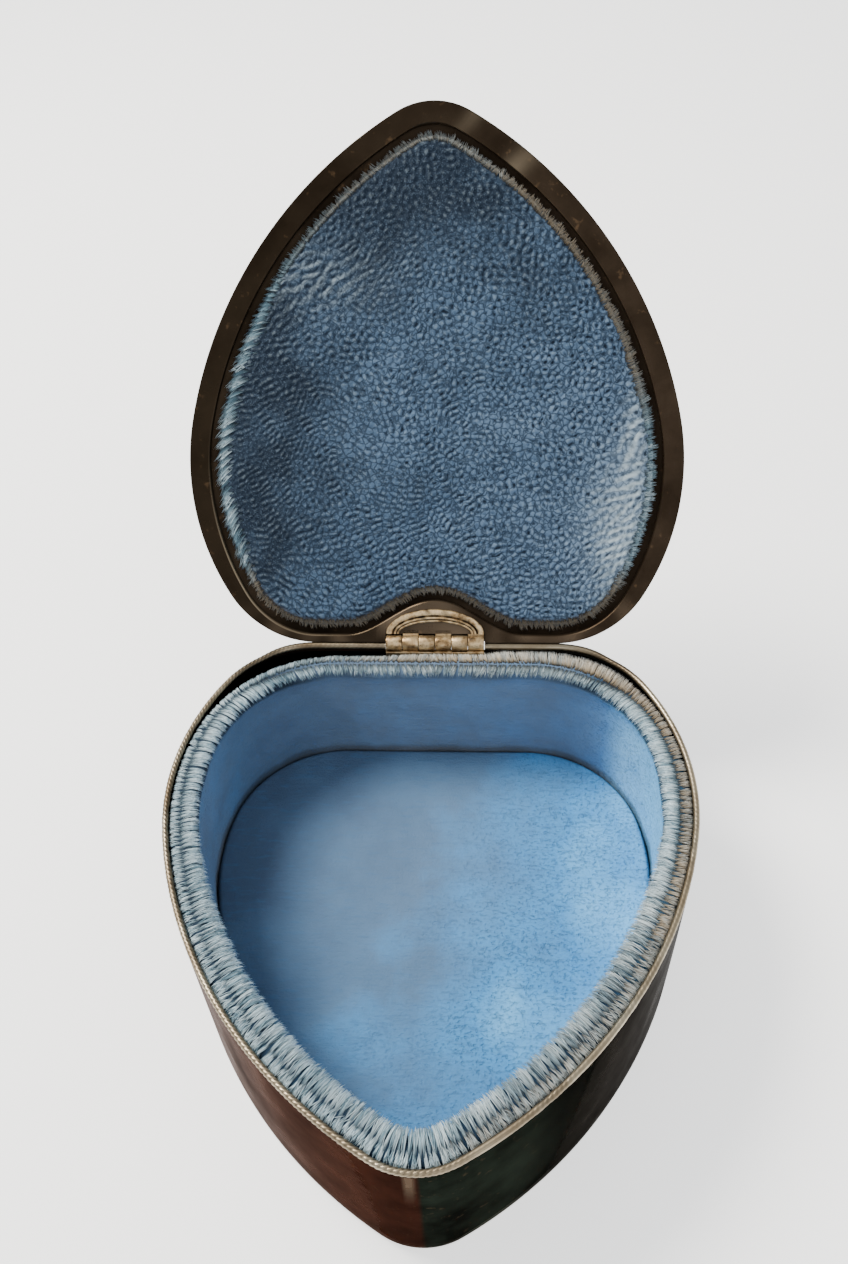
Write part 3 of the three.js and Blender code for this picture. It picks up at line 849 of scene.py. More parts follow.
# %% Floor pad
PAD_EDGE = LINING_INNER + 0.2
PAD_ROUND = 0.9
PAD_CROWN = 0.4
PRESSED_BY = 0.15
edge_p, edge_n = on_heart(LINING_HEART, path_steps(LINING_HEART, 0.6))
outline = edge_p + edge_n * PAD_EDGE
net, inside, q = net_in_outline(outline, np.array([0.0, 4.0]), 170)
pressed = ripple(net.reshape(-1, 2), 17, seed=21).reshape(q.shape) * 0.16
pressed += ripple(net.reshape(-1, 2), 5, seed=22).reshape(q.shape) * 0.04
face_height = pad_high[2] - PAD_CROWN * q**2 - PRESSED_BY - round_drop(inside, PAD_ROUND)
face_height += pressed * soft_step(0.0, 5.0, inside)
points, faces = cushion(net, face_height, [pad_high[2] - PAD_CROWN - PAD_ROUND - 0.6, pad_low[2]])
# Painted shade along the pad's edge and down its sides.
edge_shade = np.zeros(len(points))
edge_shade[: q.size] = (0.7 * soft_step(0.8, 0.0, inside)).ravel()
edge_shade[q.size :] = 0.9
# Painted light: darker at the back left, lighter at the front right.
floor_nap = 0.49 + 0.0115 * points[:, 0] - 0.004 * points[:, 1]
floor_nap += 0.05 * ripple(points[:, :2], 24, seed=23)
floor_pad = new_piece(
    "floor_pad_velvet", points, faces, "base", "light_blue_velvet", light_velvet, smooth_angle=80,
    nap=np.clip(floor_nap, 0, 1), shade=edge_shade,
    dust=0.05 * spot(points[:, :2], (-2, 14), (22, 20)),
)
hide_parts("base_floor_pad")

# %% [markdown]
# ## The lid
#
# The lid is drawn closed, with the hinge axis as its origin, and then turned open as a whole. Its
# shell starts at the inner edge of the flat border, runs out to the rounded rim, up a low skirt,
# over a narrow ledge and across the dome. Inside, a second skin follows at the thickness of the
# sheet. Only here the heart has a cleft: the outline dips forward at the back by a cosine bump.

# %% Rings of the lid
BORDER = 3.6
BORDER_THICKNESS = 1.6
BORDER_PLANE = 0.2
SKIRT = 3.4
LEDGE = 5.2
SHOULDER = 1.6
LEDGE_WIDTH = 2.2
DOME_RISE = 8.0
DOME_ROUNDNESS = 2.2
CLEFT_DEPTH = 5.4
CLEFT_HALF = 17.0
BORDER_BACK = 1.4
BORDER_CLEFT_DEPTH = 6.6
BORDER_STRETCH = (WIDEST_FROM_BACK - BORDER_BACK) / (WIDEST_FROM_BACK - BORDER)


def open_lid(points):
    """Turns points of the closed lid open about the hinge axis, and moves them there."""
    c, s = math.cos(open_angle), math.sin(open_angle)
    y = points[:, 1] * c - points[:, 2] * s
    z = points[:, 1] * s + points[:, 2] * c
    return np.stack([points[:, 0], y + axis_y, z + axis_z], 1)


def clefted(xy, depth, stretch=1.0):
    """Points of an outline whose back is stretched backwards, then dipped forward at the cleft.

    The dip is half a cosine wave across its width, and both act behind the widest line only.
    """
    behind = np.maximum(xy[:, 1] - LID_HEART["widest"], 0)
    near = np.minimum(np.abs(xy[:, 0]) / CLEFT_HALF, 1)
    dip = np.where(behind > 0, depth * (0.5 + 0.5 * np.cos(np.pi * near)), 0)
    return np.stack([xy[:, 0], xy[:, 1] + behind * (stretch - 1) - dip], 1)


def lid_ring(inset, height):
    """One ring of the closed lid: the heart's path moved inwards."""
    xy = lid_p + lid_n * inset
    return np.concatenate([xy, np.full((len(xy), 1), height)], 1)


def dome_ring(inset, height):
    """A ring of the lid's top, with the shallow cleft of the dome."""
    ring = lid_ring(inset, height)
    ring[:, :2] = clefted(ring[:, :2], CLEFT_DEPTH)
    return ring


def border_ring(inset, height):
    """A ring of the border's inner edge or of the pad, which comes close to the hinge at the back."""
    ring = lid_ring(inset, height)
    ring[:, :2] = clefted(ring[:, :2], BORDER_CLEFT_DEPTH, BORDER_STRETCH)
    return ring


def dome_rings(ring, count):
    """Rings that shrink to a share of the first one, and rise by 1 − share to a power."""
    middle = ring.mean(0)
    share = 1 - np.arange(1, count + 1) / (count + 0.5)
    rings = middle + (ring - middle)[None] * share[:, None, None]
    rings[..., 2] = ring[0, 2] + DOME_RISE * (1 - share[:, None] ** DOME_ROUNDNESS)
    return list(rings)


# %% [markdown]
# The rings run from the middle of the inner skin to the middle of the dome. Where the barrel of the
# hinge lies, the rings of the edge are moved to the section of a notch. Beside it the edge comes down
# a little further, so that no light shows between it and the wire.

# %% Lid shell
BACK_EDGE_DROP = 0.12
lid_s = path_steps(LID_HEART, 0.7, notch_marks)
lid_p, lid_n = on_heart(LID_HEART, lid_s)
up = BORDER_PLANE
corner = arc_section((0.08, up + 0.08), 0.08, 270, 180, 6)
ledge_end = SHOULDER + LEDGE_WIDTH
inner_top = up + LEDGE - WALL
outer_ledge = dome_ring(ledge_end, up + LEDGE)
inner_ledge = dome_ring(ledge_end + WALL, inner_top)
flat_border = [
    border_ring(BORDER, up + BORDER_THICKNESS),
    border_ring(BORDER, up + 0.15),
    border_ring(BORDER - 0.15, up),
    border_ring(BORDER - 0.25, up),
    lid_ring(0.4, up),
]
outside = [
    *flat_border,
    *[lid_ring(inset, z) for inset, z in corner],
    lid_ring(0.0, up + SKIRT),
    lid_ring(0.25, up + SKIRT + 0.5),
    lid_ring(SHOULDER, up + LEDGE - 0.15),
    lid_ring(SHOULDER + 0.3, up + LEDGE),
    outer_ledge,
    *dome_rings(outer_ledge, 26),
]
inside_rings = [
    lid_ring(WALL, up + BORDER_THICKNESS),
    lid_ring(WALL, min(up + SKIRT, inner_top - FIT)),
    lid_ring(WALL + SHOULDER, inner_top),
    inner_ledge,
    *dome_rings(inner_ledge, 10),
]
rings = np.array(inside_rings[::-1] + outside)
first_corner = len(inside_rings) + len(flat_border)
in_notch = (np.abs(lid_p[:, 0]) < NOTCH_HALF) & (lid_p[:, 1] > LID_HEART["widest"])
notch_section = np.array([
    (-BARREL_SPACE - 0.1, up), (-BARREL_SPACE, up), (-BARREL_SPACE, 0.9),
    (-BARREL_SPACE, BARREL_SPACE), (-1.2, BARREL_SPACE), (-0.8, BARREL_SPACE),
    (LID_HEART["back"], BARREL_SPACE),
])
edge_rows = rings[first_corner - 1 : first_corner - 1 + len(notch_section)]
edge_rows[:, in_notch, 1:] = notch_section[:, None]
wobble = ripple(rings.reshape(-1, 3), 24, seed=31).reshape(rings.shape[:2]) * 0.05
wobble[: len(inside_rings)] = 0
rings[..., 2] += wobble * (rings[..., 2] > 3)
edge_rows[:, ~in_notch, 2] -= BACK_EDGE_DROP * soft_step(-3, -0.5, edge_rows[:, ~in_notch, 1])
rows, columns = rings.shape[:2]
flat = np.concatenate([rings.reshape(-1, 3), rings[0].mean(0)[None], rings[-1].mean(0)[None]])
row_of = np.repeat(np.arange(rows), columns)
inner_lip = np.isin(row_of, [first_corner - 4, first_corner - 3])
outer_lip = np.isin(row_of, [first_corner + 2, first_corner + 3])
wear_noise = soft_step(0.1, 1.2, ripple(flat, 7, seed=32))[: rows * columns]
# Painted highlights: a bright line on the inner lip at the lower left, and two small glints on the
# border near the lid's point. The outer lip is worn in patches.
left_low = spot(flat[: rows * columns, :2], (-32, -14), (12, 14))
worn = 0.8 * inner_lip * left_low + 0.4 * outer_lip * wear_noise
shiny = spot(flat[: rows * columns], (6, -91.5, up), (1.6, 1.2, 0.5))
shiny += spot(flat[: rows * columns], (15, -85, up), (2.0, 1.6, 0.5))
worn += 0.35 * shiny
by_hinge = spot(flat, (0, -4, 0), (30, 6, 1.2)) * (0.3 + 0.4 * ripple(flat, 6, seed=33))
lid_shell = new_piece(
    "lid_shell_silver", open_lid(flat), capped_tube(rows, columns),
    "lid", "tarnished_silver", lid_silver,
    worn=np.append(np.clip(worn, 0, 1), [0, 0]), dust=np.clip(by_hinge, 0, 0.8),
    soot=np.zeros(len(flat)),
)
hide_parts("lid_shell")

# %% [markdown]
# ## The crushed velvet in the lid
#
# The lid's pad is painted darker than the floor's, partly as painted shade, and its pile has been
# crushed into pebbles and short worms with creases between them, darkened with painted shade. Waves
# of nearly one length, laid over each other in many directions, give such a pattern: pebbles where
# the directions are free, and worms where they are held within a narrow fan. Three fans, mixed by
# slow noise, make the worms swirl as the lie of the pile does.


# %% Pebbles and creases
def crushed(xy, wavelength, seed, facing, fan_angle, waves=44):
    """Sum of cosines of about one wavelength, in directions within a fan round the facing angle."""
    rng = np.random.default_rng(seed)
    angle = np.radians(facing) + rng.uniform(-fan_angle, fan_angle, waves)
    pace = 2 * np.pi / wavelength * rng.uniform(0.86, 1.18, waves)
    direction = np.stack([np.cos(angle), np.sin(angle)]) * pace
    return np.cos(xy @ direction + rng.uniform(0, 2 * np.pi, waves)).sum(1) * math.sqrt(2 / waves)


# %% Relief of the lid pad
LID_PAD_EDGE = BORDER + 1.7
LID_PAD_ROUND = 2.0
LID_PAD_FACE = BORDER_PLANE + 0.4
LID_PAD_CROWN = 1.2
LID_PAD_BACK = BORDER_PLANE + LEDGE - WALL - 0.5
RELIEF_SEAT = 0.25
PEBBLE = 1.3
WORM = 1.12
pad_outline = border_ring(LID_PAD_EDGE, 0)[:, :2]
pad_middle = np.array([0.0, LID_HEART["widest"] - 8.0])
net, inside, q = net_in_outline(pad_outline, pad_middle, 304)
xy = net.reshape(-1, 2)
inside_flat = inside.ravel()
swirl = np.stack([ripple(xy, 30, seed=41), ripple(xy, 34, seed=42)], 1)
bent = xy + 0.9 * swirl + 0.12 * np.stack([ripple(xy, 4.0, seed=44), ripple(xy, 4.0, seed=45)], 1)
pebbly = 0.55 + 0.02 * (xy[:, 0] - 4) - 0.008 * (xy[:, 1] + 45) + 0.35 * ripple(xy, 22, seed=43)
pebbly = np.clip(pebbly, 0, 1)
sway = 1.6 * ripple(xy, 30, seed=52) + 0.02 * xy[:, 0]
fans = [np.exp(-((sway - lean) ** 2) / 0.4) for lean in (-0.9, 0.0, 0.9)]
worms = sum(
    share * crushed(bent, WORM, 47 + k, facing, 0.6)
    for k, (share, facing) in enumerate(zip(fans, (50, 90, 130)))
) / np.sqrt(sum(share**2 for share in fans) + 1e-9)
field = np.sqrt(pebbly) * crushed(bent, PEBBLE, 46, 0, np.pi) + np.sqrt(1 - pebbly) * worms
field += 0.45 * ripple(xy, 1.05, seed=54, waves=40)
streaks = soft_step(-0.5, 1.1, crushed(xy + 1.2 * swirl, 1.9, 53, 60, 0.5))
bald = (spot(xy, (34, -20), (5.5, 12)) + 0.8 * spot(xy, (36, -36), (2.2, 9))) * (0.35 + 0.75 * streaks)
bald = np.clip(bald + 0.35 * spot(xy, (-22, -66), (12, 5)) * streaks, 0, 1)
deeper = 0.7 + 0.3 * soft_step(-0.8, 0.8, ripple(xy, 5, seed=49))
# Painted shade in the creases between the pebbles.
crease = soft_step(-0.5, -1.5, field) * deeper * (1 - 0.6 * bald)
pebbles = 0.32 * soft_step(-1.6, 0.6, field) * (1 - 0.5 * bald) * (0.75 + 0.25 * pebbly)
folds = 0.07 * ripple(xy, 7.5, seed=50) + 0.08 * ripple(xy, 16, seed=51)
relief = (pebbles + folds) * soft_step(0.0, 1.6, inside_flat)
face_height = LID_PAD_FACE - LID_PAD_CROWN * (1 - q.ravel() ** 2)
face_height += round_drop(inside_flat, LID_PAD_ROUND) - relief + RELIEF_SEAT

# %% [markdown]
# This pad is painted in shade at its top and along its left, and painted lighter where light lies
# on it. A patch near the right edge is worn nearly bald, and dirt has settled by the hinge.

# %% Lid pad
side_heights = [LID_PAD_FACE + LID_PAD_ROUND + 0.5, LID_PAD_BACK]
points, faces = cushion(net, face_height.reshape(q.shape), side_heights)
beyond = len(points) - q.size
# Painted light and shade: dark at the top and along the left, lighter towards the lower right.
nap = 0.52 + 0.006 * (xy[:, 0] - 4) - 0.55 * spot(xy, (-2, -84), (22, 18))
nap -= 0.62 * spot(xy, (-36, -44), (13, 32)) + 0.3 * spot(xy, (22, -66), (12, 16))
nap += 0.2 * spot(xy, (30, -18), (14, 16)) + 0.12 * spot(xy, (-8, -10), (22, 8))
back_dust = 0.6 * soft_step(1.8, 0.2, inside_flat) * soft_step(-14, -7, xy[:, 1])
lid_pad = new_piece(
    "lid_pad_velvet", open_lid(points), faces,
    "lid", "deep_blue_velvet", deep_velvet, smooth_angle=180,
    crease=np.append(crease, np.full(beyond, 0.6)),
    # The bald patch is wear; the pebble tops get a faint painted highlight.
    worn=np.append(np.clip(0.9 * bald + 0.14 * soft_step(0.6, 1.9, field), 0, 1), np.zeros(beyond)),
    nap=np.append(np.clip(nap, 0, 1), np.full(beyond, 0.2)),
    dust=np.append(back_dust, np.full(beyond, 0.3)),
)
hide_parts("lid_pad")

# %% [markdown]
# ## Loose pile as strands
#
# Where the velvet is folded over an edge its pile stands open, and single strands show. Particles
# would be the usual way, but a strand of a few faces is as good at this size and stays a plain
# mesh. Each one is a thin spike through four stations: a triangle round each of the first three,
# and a point at the last. All strands are computed together, as arrays with a row per strand.
#
# Strands hang together in clumps, which is what makes stripes with dark gaps. So every strand
# starts where it likes, and its point is drawn towards the middle of its clump.


# %% Strands
STATIONS = (0.0, 0.4, 0.75, 1.0)


def strands(stations, aside, across, width):
    """Points and faces of many spikes, and how far along its strand each point lies.

    The stations are four arrays of points. Round each of the first three, a triangle is laid out
    along the two directions, aside and across, at 0.5, 0.45 and 0.3 of the width.
    """
    rings = []
    for centre, share in zip(stations, (0.5, 0.45, 0.3)):
        for turn in (np.pi / 2, np.pi * 7 / 6, np.pi * 11 / 6):
            offset = aside * math.cos(turn) + across * math.sin(turn)
            rings.append(centre + offset * (share * width)[:, None])
    points = np.stack([*rings, stations[3]], 1)
    pattern = [[0, 2, 1]]
    for low in (0, 3):
        for k in range(3):
            a, b = low + k, low + (k + 1) % 3
            pattern += [[a, b, b + 3], [a, b + 3, a + 3]]
    pattern += [[6, 7, 9], [7, 8, 9], [8, 6, 9]]
    faces = (np.arange(len(width))[:, None, None] * 10 + np.array(pattern)[None]).reshape(-1, 3)
    along = np.tile([0.0] * 3 + [0.45] * 3 + [0.8] * 3 + [1.0], len(width))
    return points.reshape(-1, 3), faces, along


def per_point(values):
    """Repeats one value per strand for its ten points."""
    return np.repeat(values, 10)


def clump_of(s, length, spacing, rng):
    """The middle of each strand's clump along a closed path, and the clump's own random number."""
    count = round(length / spacing)
    number = np.floor(s / length * count).astype(int) % count
    middle = (number + 0.5 + rng.uniform(-0.34, 0.34, count)[number]) * (length / count)
    return middle, rng.uniform(-1, 1, count)[number]


# %% [markdown]
# ## The open pile on the roll
#
# On the roll the pile parts along a ridge: the outer row leans to the metal wall, the inner row
# leans in and down. Towards the tip the strands are long and almost white, on the left grey-green,
# and near the hinge, at the back right and at the tip they are brown with dust. Each strand follows
# the round of the roll, and its end stands off a little. At the back right the outer row reaches over
# the gap to the metal wall.

# %% Pile on the roll
CLUMP = 0.9


def roll_strands(name, count, outer, seed):
    """One row of strands: section angles run from the ridge to the wall side or to the inside."""
    rng = np.random.default_rng(seed)
    length_round = heart_length(LINING_HEART)
    s = rng.uniform(0, length_round, count)
    middle, clump = clump_of(s, length_round, CLUMP, rng)
    p, _ = on_heart(LINING_HEART, s)
    front = soft_step(10, -20, p[:, 1])
    right = soft_step(20, 38, p[:, 0]) * soft_step(-22, -4, p[:, 1]) * soft_step(44, 34, p[:, 1])
    at_back = soft_step(36, 44, p[:, 1])
    tip_gap = spot(p, (-5, -41), (9, 5))
    ridge = 99 - 12 * at_back - 10 * tip_gap
    merged = 1 - at_back
    spread = rng.uniform(0, 1, count)
    if outer:
        over_gap = at_back * soft_step(-12, -2, p[:, 0]) * (1.0 + 0.5 * soft_step(9, 14, p[:, 0]))
        over_gap += spot(p, (31, 37), (12, 9))
        start = ridge + 4 - 10 * merged - 6 * front + (24 + 6 * merged + 10 * front) * spread
        arc = (48 + 10 * front - 6 * at_back - 18 * tip_gap) * rng.uniform(0.6, 1.25, count)
        end = start + arc * (1 + 0.2 * clump)
        stand_off = 0.2 + 0.3 * rng.uniform(0, 1, count)
        stand_off += 0.3 * soft_step(-10, 20, p[:, 0]) * merged
        gather = 0.3 + 0.1 * front - 0.2 * at_back
        pull = 0.65 + 0.2 * front - 0.35 * at_back
    else:
        over_gap = 0
        start = ridge + 12 * merged + 16 * front - (16 + 10 * merged + 40 * front) * spread
        arc = (76 + 12 * front - 24 * at_back) * rng.uniform(0.65, 1.12, count)
        end = start - arc * (1 + 0.1 * clump)
        stand_off = 0.15 + (0.25 + 0.9 * front) * rng.uniform(0.1, 1, count)
        gather = 0.3 + 0.16 * front - 0.2 * right - 0.1 * at_back
        pull = 0.65 + 0.2 * front - 0.4 * right - 0.1 * at_back
    ahead = np.where(s < length_round / 2, -1, 1)
    unruly = 0.2 + 0.16 * front + 0.16 * at_back * outer
    slant = (0.55 + 0.3 * clump) * ahead * (1 - 0.7 * front) + rng.normal(0, unruly, count)
    s = s + (middle - s) * gather
    stations = []
    for t in STATIONS:
        along_path = s + (middle - s) * pull * t**1.4 + slant * t
        place, inward = on_heart(LINING_HEART, along_path)
        angle = np.radians(start + (end - start) * t)
        off = 0.04 + stand_off * t**1.5
        inset = ROLL_MIDDLE + (ROLL_WIDTH / 2 + off) * np.cos(angle) - over_gap * t**1.5
        height = ROLL_CENTRE + (ROLL_HEIGHT / 2 + off) * np.sin(angle)
        height = np.minimum(height, RIM - 0.05)
        stations.append(np.column_stack([place + inward * inset[:, None], height]))
    half_way = np.radians((start + end) / 2)
    tangent = np.column_stack([-inward[:, 1], inward[:, 0], np.zeros(count)])
    across = np.column_stack([inward * np.cos(half_way)[:, None], np.sin(half_way)])
    width = rng.uniform(0.09, 0.18, count) + 0.02 * front + 0.05 * at_back * outer
    points, faces, along = strands(stations, tangent, across, width)
    dirt = 0.9 * spot(p, (33, 34), (11, 11)) + 0.85 * spot(p, (6, 46), (24, 5))
    dirt += 0.8 * spot(p, (6, -42), (5, 3))
    if outer:
        dirt += 0.8 * soft_step(20, 36, p[:, 0]) * soft_step(-24, 0, p[:, 1])
        dirt += 0.5 * soft_step(0, 20, p[:, 0]) * front
    else:
        dirt = dirt * (0.26 - 0.16 * right) + 0.2 * soft_step(4, 20, p[:, 0]) * front
    dirt = np.clip(dirt * (1 + 0.3 * clump) * rng.uniform(0.6, 1.15, count), 0, 1)
    left_front = front * soft_step(14, -6, p[:, 0])
    left_side = soft_step(-14, -30, p[:, 0]) * (1 - front) * merged
    pale = 0.46 + 0.3 * left_front + 0.4 * left_side + 0.06 * front
    pale += (0.35 * right - 0.14 * at_back) * (not outer) + (0.16 + 0.12 * front) * clump
    pale += rng.normal(0, 0.24 + 0.1 * at_back, count)
    new_piece(
        name, points, [faces], "base", "light_blue_velvet", loose_pile, smooth_angle=180,
        along=along, paleness=per_point(np.clip(pale, 0, 1)), dust=per_point(dirt),
    )


roll_strands("roll_pile_outer", 7000, True, 61)
roll_strands("roll_pile_inner", 10500, False, 62)

# %% [markdown]
# ## The frayed edge in the lid
#
# Round the lid's pad the velvet is cut and frays over the dark gap. The strands lie over the pad's
# round edge and end just beyond it. On the left they are long and lie in slanting stripes, on the
# right and at the top they are short and fuzzy, and at the cleft they are brown with dirt.

# %% Fringe of the lid pad
FRINGE_CLUMP = 0.95
LOWEST = BORDER_PLANE - 0.3
rng = np.random.default_rng(70)
count = 7600
ring_length = np.hypot(*(np.roll(pad_outline, -1, 0) - pad_outline).T)
distance = np.concatenate([[0], np.cumsum(ring_length)])
closed = np.concatenate([pad_outline, pad_outline[:1]])


def on_pad_edge(s):
    """Points of the pad's outline and their inward normals, at distances along it."""
    s = np.mod(s, distance[-1])
    here, ahead = (
        np.stack([np.interp(np.mod(at, distance[-1]), distance, closed[:, k]) for k in (0, 1)], 1)
        for at in (s - 0.3, s + 0.3)
    )
    tangent = ahead - here
    tangent /= np.maximum(np.hypot(*tangent.T), 1e-9)[:, None]
    inward = np.stack([tangent[:, 1], -tangent[:, 0]], 1)
    inward *= np.sign(((pad_middle - here) * inward).sum(1))[:, None]
    return (here + ahead) / 2, inward


s = rng.uniform(0, distance[-1], count)
middle, clump = clump_of(s, distance[-1], FRINGE_CLUMP, rng)
edge, inward = on_pad_edge(s)
left = soft_step(-22, -34, edge[:, 0]) * soft_step(-74, -56, edge[:, 1])
left *= soft_step(-8, -18, edge[:, 1])
right = soft_step(24, 36, edge[:, 0])
at_back = soft_step(-16, -8, edge[:, 1])
reach_in = 0.3 + rng.uniform(0, 1, count) * (0.9 + 2.0 * left + 0.5 * right)
reach_out = 0.1 + rng.uniform(0.0, 1, count) ** 2 * (0.9 + 0.1 * left) * (1 + 0.4 * clump)
slant = (0.2 + 2.6 * left) + 0.3 * clump + rng.normal(0, 0.3 - 0.2 * left, count)
s = s + (middle - s) * 0.75 * left
stations = []
for t in STATIONS:
    along_path = s + (middle - s) * (0.3 + 0.4 * left) * t**1.4 + slant * (t - 0.5)
    place, into = on_pad_edge(along_path)
    back_in = reach_in - (reach_in + reach_out) * t
    height = LID_PAD_FACE + 0.05 + 0.75 * round_drop(back_in, LID_PAD_ROUND) - 0.25 * t
    station = place + into * back_in[:, None]
    stations.append(np.column_stack([station, np.maximum(height, LOWEST)]))
tangent = np.column_stack([-inward[:, 1], inward[:, 0], np.zeros(count)])
across = np.tile([0.0, 0.0, -1.0], (count, 1))
width = rng.uniform(0.12, 0.2, count)
points, faces, along = strands(stations, tangent, across, width)
right_low = spot(edge, (34, -26), (9, 18))
pale = 0.3 + 0.6 * right_low + 0.22 * left + (0.2 + 0.25 * left) * clump + rng.normal(0, 0.2, count)
dark_edge = at_back + 0.5 * soft_step(-62, -84, edge[:, 1])
dark_edge += 0.8 * soft_step(8, 22, edge[:, 0]) * soft_step(-38, -54, edge[:, 1])
dark_edge = np.clip(dark_edge, 0, 1)
new_piece(
    "lid_pad_fringe", open_lid(points), [faces],
    "lid", "deep_blue_velvet", loose_pile, smooth_angle=180,
    along=along * per_point(1 - 0.62 * dark_edge), paleness=per_point(np.clip(pale, 0, 1)),
    dust=per_point(np.clip(dark_edge * rng.uniform(0.6, 1.2, count), 0, 1)),
)

# %% [markdown]
# ## The hinge
#
# Six knuckles share one pin, three on each leaf. A knuckle is a ring turned about the axis: its
# section is a rectangle with rounded outer corners. The webs and the leaf are blocks with broken
# edges. The lid's leaf ends in a D-shaped plate with raised arcs, cast with it. Its section, from
# the round edge to the middle, is carried along half an ellipse, and its back is flat.


# %% Rings and blocks
def turned_ring(section, start, count=40):
    """A closed ring about the X axis: pairs of distance along and radius, turned round."""
    angle = np.linspace(0, 2 * np.pi, count, endpoint=False)
    along, radius = section.T[..., None]
    circle = [radius * np.cos(angle), radius * np.sin(angle)]
    grid = np.stack([np.repeat(start + along, count, 1), *circle], -1)
    return grid.reshape(-1, 3), [grid_quads(len(section), count, close_rows=True)]


def face_outwards(points, faces):
    """Turns each face of a convex body so that its normal points away from the body's middle."""
    middle = points.mean(0)
    a, b, c = (points[faces[:, k]] for k in range(3))
    away = np.einsum("ij,ij->i", np.cross(b - a, c - a), points[faces].mean(1) - middle)
    faces = faces.copy()
    faces[away < 0] = faces[away < 0][:, ::-1]
    return faces


def soft_block(low, high, radius=0.08):
    """A block with broken edges: for each axis, its corners pulled in along the two other axes.

    A quad on each side and along each edge, and a triangle at each corner, join the three sets.
    """
    low, high = np.array(low, float), np.array(high, float)
    sign = np.array([[i, j, k] for i in (0, 1) for j in (0, 1) for k in (0, 1)])
    corners = low + sign * (high - low)
    inwards = np.where(sign == 0, radius, -radius)
    points = np.concatenate([corners + inwards * (np.arange(3) != axis) for axis in range(3)])

    def number(axis, at):
        """Number of a point: its axis, and 0 or 1 along each of the three axes."""
        return 8 * axis + 4 * at[0] + 2 * at[1] + at[2]

    quads = []
    for axis in range(3):
        a, b = [k for k in range(3) if k != axis]
        square = [(0, 0), (1, 0), (1, 1), (0, 1)]
        for side in (0, 1):
            quads.append([number(axis, {axis: side, a: u, b: v}) for u, v in square])
        for u, v in square:
            near, far = {axis: 0, a: u, b: v}, {axis: 1, a: u, b: v}
            quads.append([number(a, near), number(a, far), number(b, far), number(b, near)])
    tris = [[number(axis, row) for axis in range(3)] for row in sign]
    return points, [face_outwards(points, np.array(quads)), face_outwards(points, np.array(tris))]


def joined(parts):
    """Several closed bodies as one list of points and faces, each made to face outwards first."""
    points, faces, begin = [], [], 0
    for part_points, part_faces in parts:
        points.append(part_points)
        faces += [f + begin for f in turned_outwards(part_points, part_faces)]
        begin += len(part_points)
    return np.concatenate(points), faces


# %% Hinge leaf on the case
KNUCKLES = 6
KNUCKLE_SPACE = 0.06
KNUCKLE_ROUND = 0.22
LEAF = 0.6
LEAF_HEIGHT = 6.0
WEB = 0.7
knuckle = (HINGE_LENGTH - KNUCKLE_SPACE * (KNUCKLES - 1)) / KNUCKLES
bore = PIN + 0.1
half_section = np.array([
    [0.0, bore], [0.0, BARREL - KNUCKLE_ROUND], [0.06, BARREL - 0.06], [KNUCKLE_ROUND, BARREL],
])
other_half = half_section[::-1] * [-1, 1] + [knuckle, 0]
ring_section = np.concatenate([half_section, other_half])


def knuckle_rings(first):
    """Every second knuckle from the first one."""
    starts = [-HINGE_LENGTH / 2 + i * (knuckle + KNUCKLE_SPACE) for i in range(first, KNUCKLES, 2)]
    return starts, [turned_ring(ring_section, start) for start in starts]


web_top = -bore
leaf_front = -(axis_y - CASE_HEART["back"]) - WALL - FIT - LEAF
starts, parts = knuckle_rings(0)
for start in starts:
    parts.append(soft_block(
        [start, leaf_front + 0.1, web_top - WEB], [start + knuckle, web_top, web_top],
    ))
parts.append(soft_block(
    [-HINGE_LENGTH / 2, leaf_front, web_top - LEAF_HEIGHT],
    [HINGE_LENGTH / 2, leaf_front + LEAF, web_top],
))
points, faces = joined(parts)
# The leaf is made darker low down and on its plate towards the case.
grime = 0.75 * soft_step(-0.6, -1.2, points[:, 2]) + 0.5 * (points[:, 1] < -1.5)
case_leaf = new_piece(
    "case_hinge_leaf", points + [0, axis_y, axis_z], faces,
    "base", "gilt_brass", gilt_brass, smooth_angle=35,
    hollow=np.clip(grime + 0.2 + 0.4 * ripple(points, 1.4, seed=81), 0, 1),
)
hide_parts("base_hinge_leaf")

# %% [markdown]
# The plate's section is a short table: how far in from the edge, how high, and how hollow it lies,
# which tells the brass where dirt stays. Negative heights stand out from the lid's border.

# %% Hinge leaf and moulded plate on the lid
PLATE_DEPTH = 4.7
PLATE = 0.6
plate_rows = np.array([
    (0.0, PLATE, 0.8), (0.0, -0.12, 0.5), (0.1, -0.3, 0.05), (0.35, -0.38, 0.0), (0.8, -0.4, 0.0),
    (1.05, -0.33, 0.1), (1.15, -0.1, 0.9), (1.3, -0.02, 1.0), (1.42, -0.1, 0.7), (1.5, -0.24, 0.1),
    (1.66, -0.27, 0.0), (1.82, -0.22, 0.15), (1.9, -0.06, 0.9), (1.98, -0.05, 0.9),
    (2.08, -0.22, 0.15), (2.25, -0.27, 0.0), (2.42, -0.2, 0.2), (2.5, 0.0, 0.9), (2.62, 0.12, 1.0),
    (3.1, 0.2, 0.9), (4.2, 0.22, 0.85),
])
t = np.linspace(np.pi, 2 * np.pi, 90)
inset, rise, plate_hollow = plate_rows.T[..., None]
x = (HINGE_LENGTH / 2 - inset) * np.cos(t)[None]
y = -BARREL_SPACE + (PLATE_DEPTH - inset) * np.sin(t)[None]
grid = np.stack([x, y, np.repeat(BORDER_PLANE + rise, len(t), 1)], -1)
rows, columns = grid.shape[:2]
middles = [[0, -BARREL_SPACE, BORDER_PLANE + height] for height in (rise[-1, 0], PLATE)]
plate_points = np.concatenate([grid.reshape(-1, 3), middles])
front_middle, back_middle = rows * columns, rows * columns + 1
first = np.arange(columns)
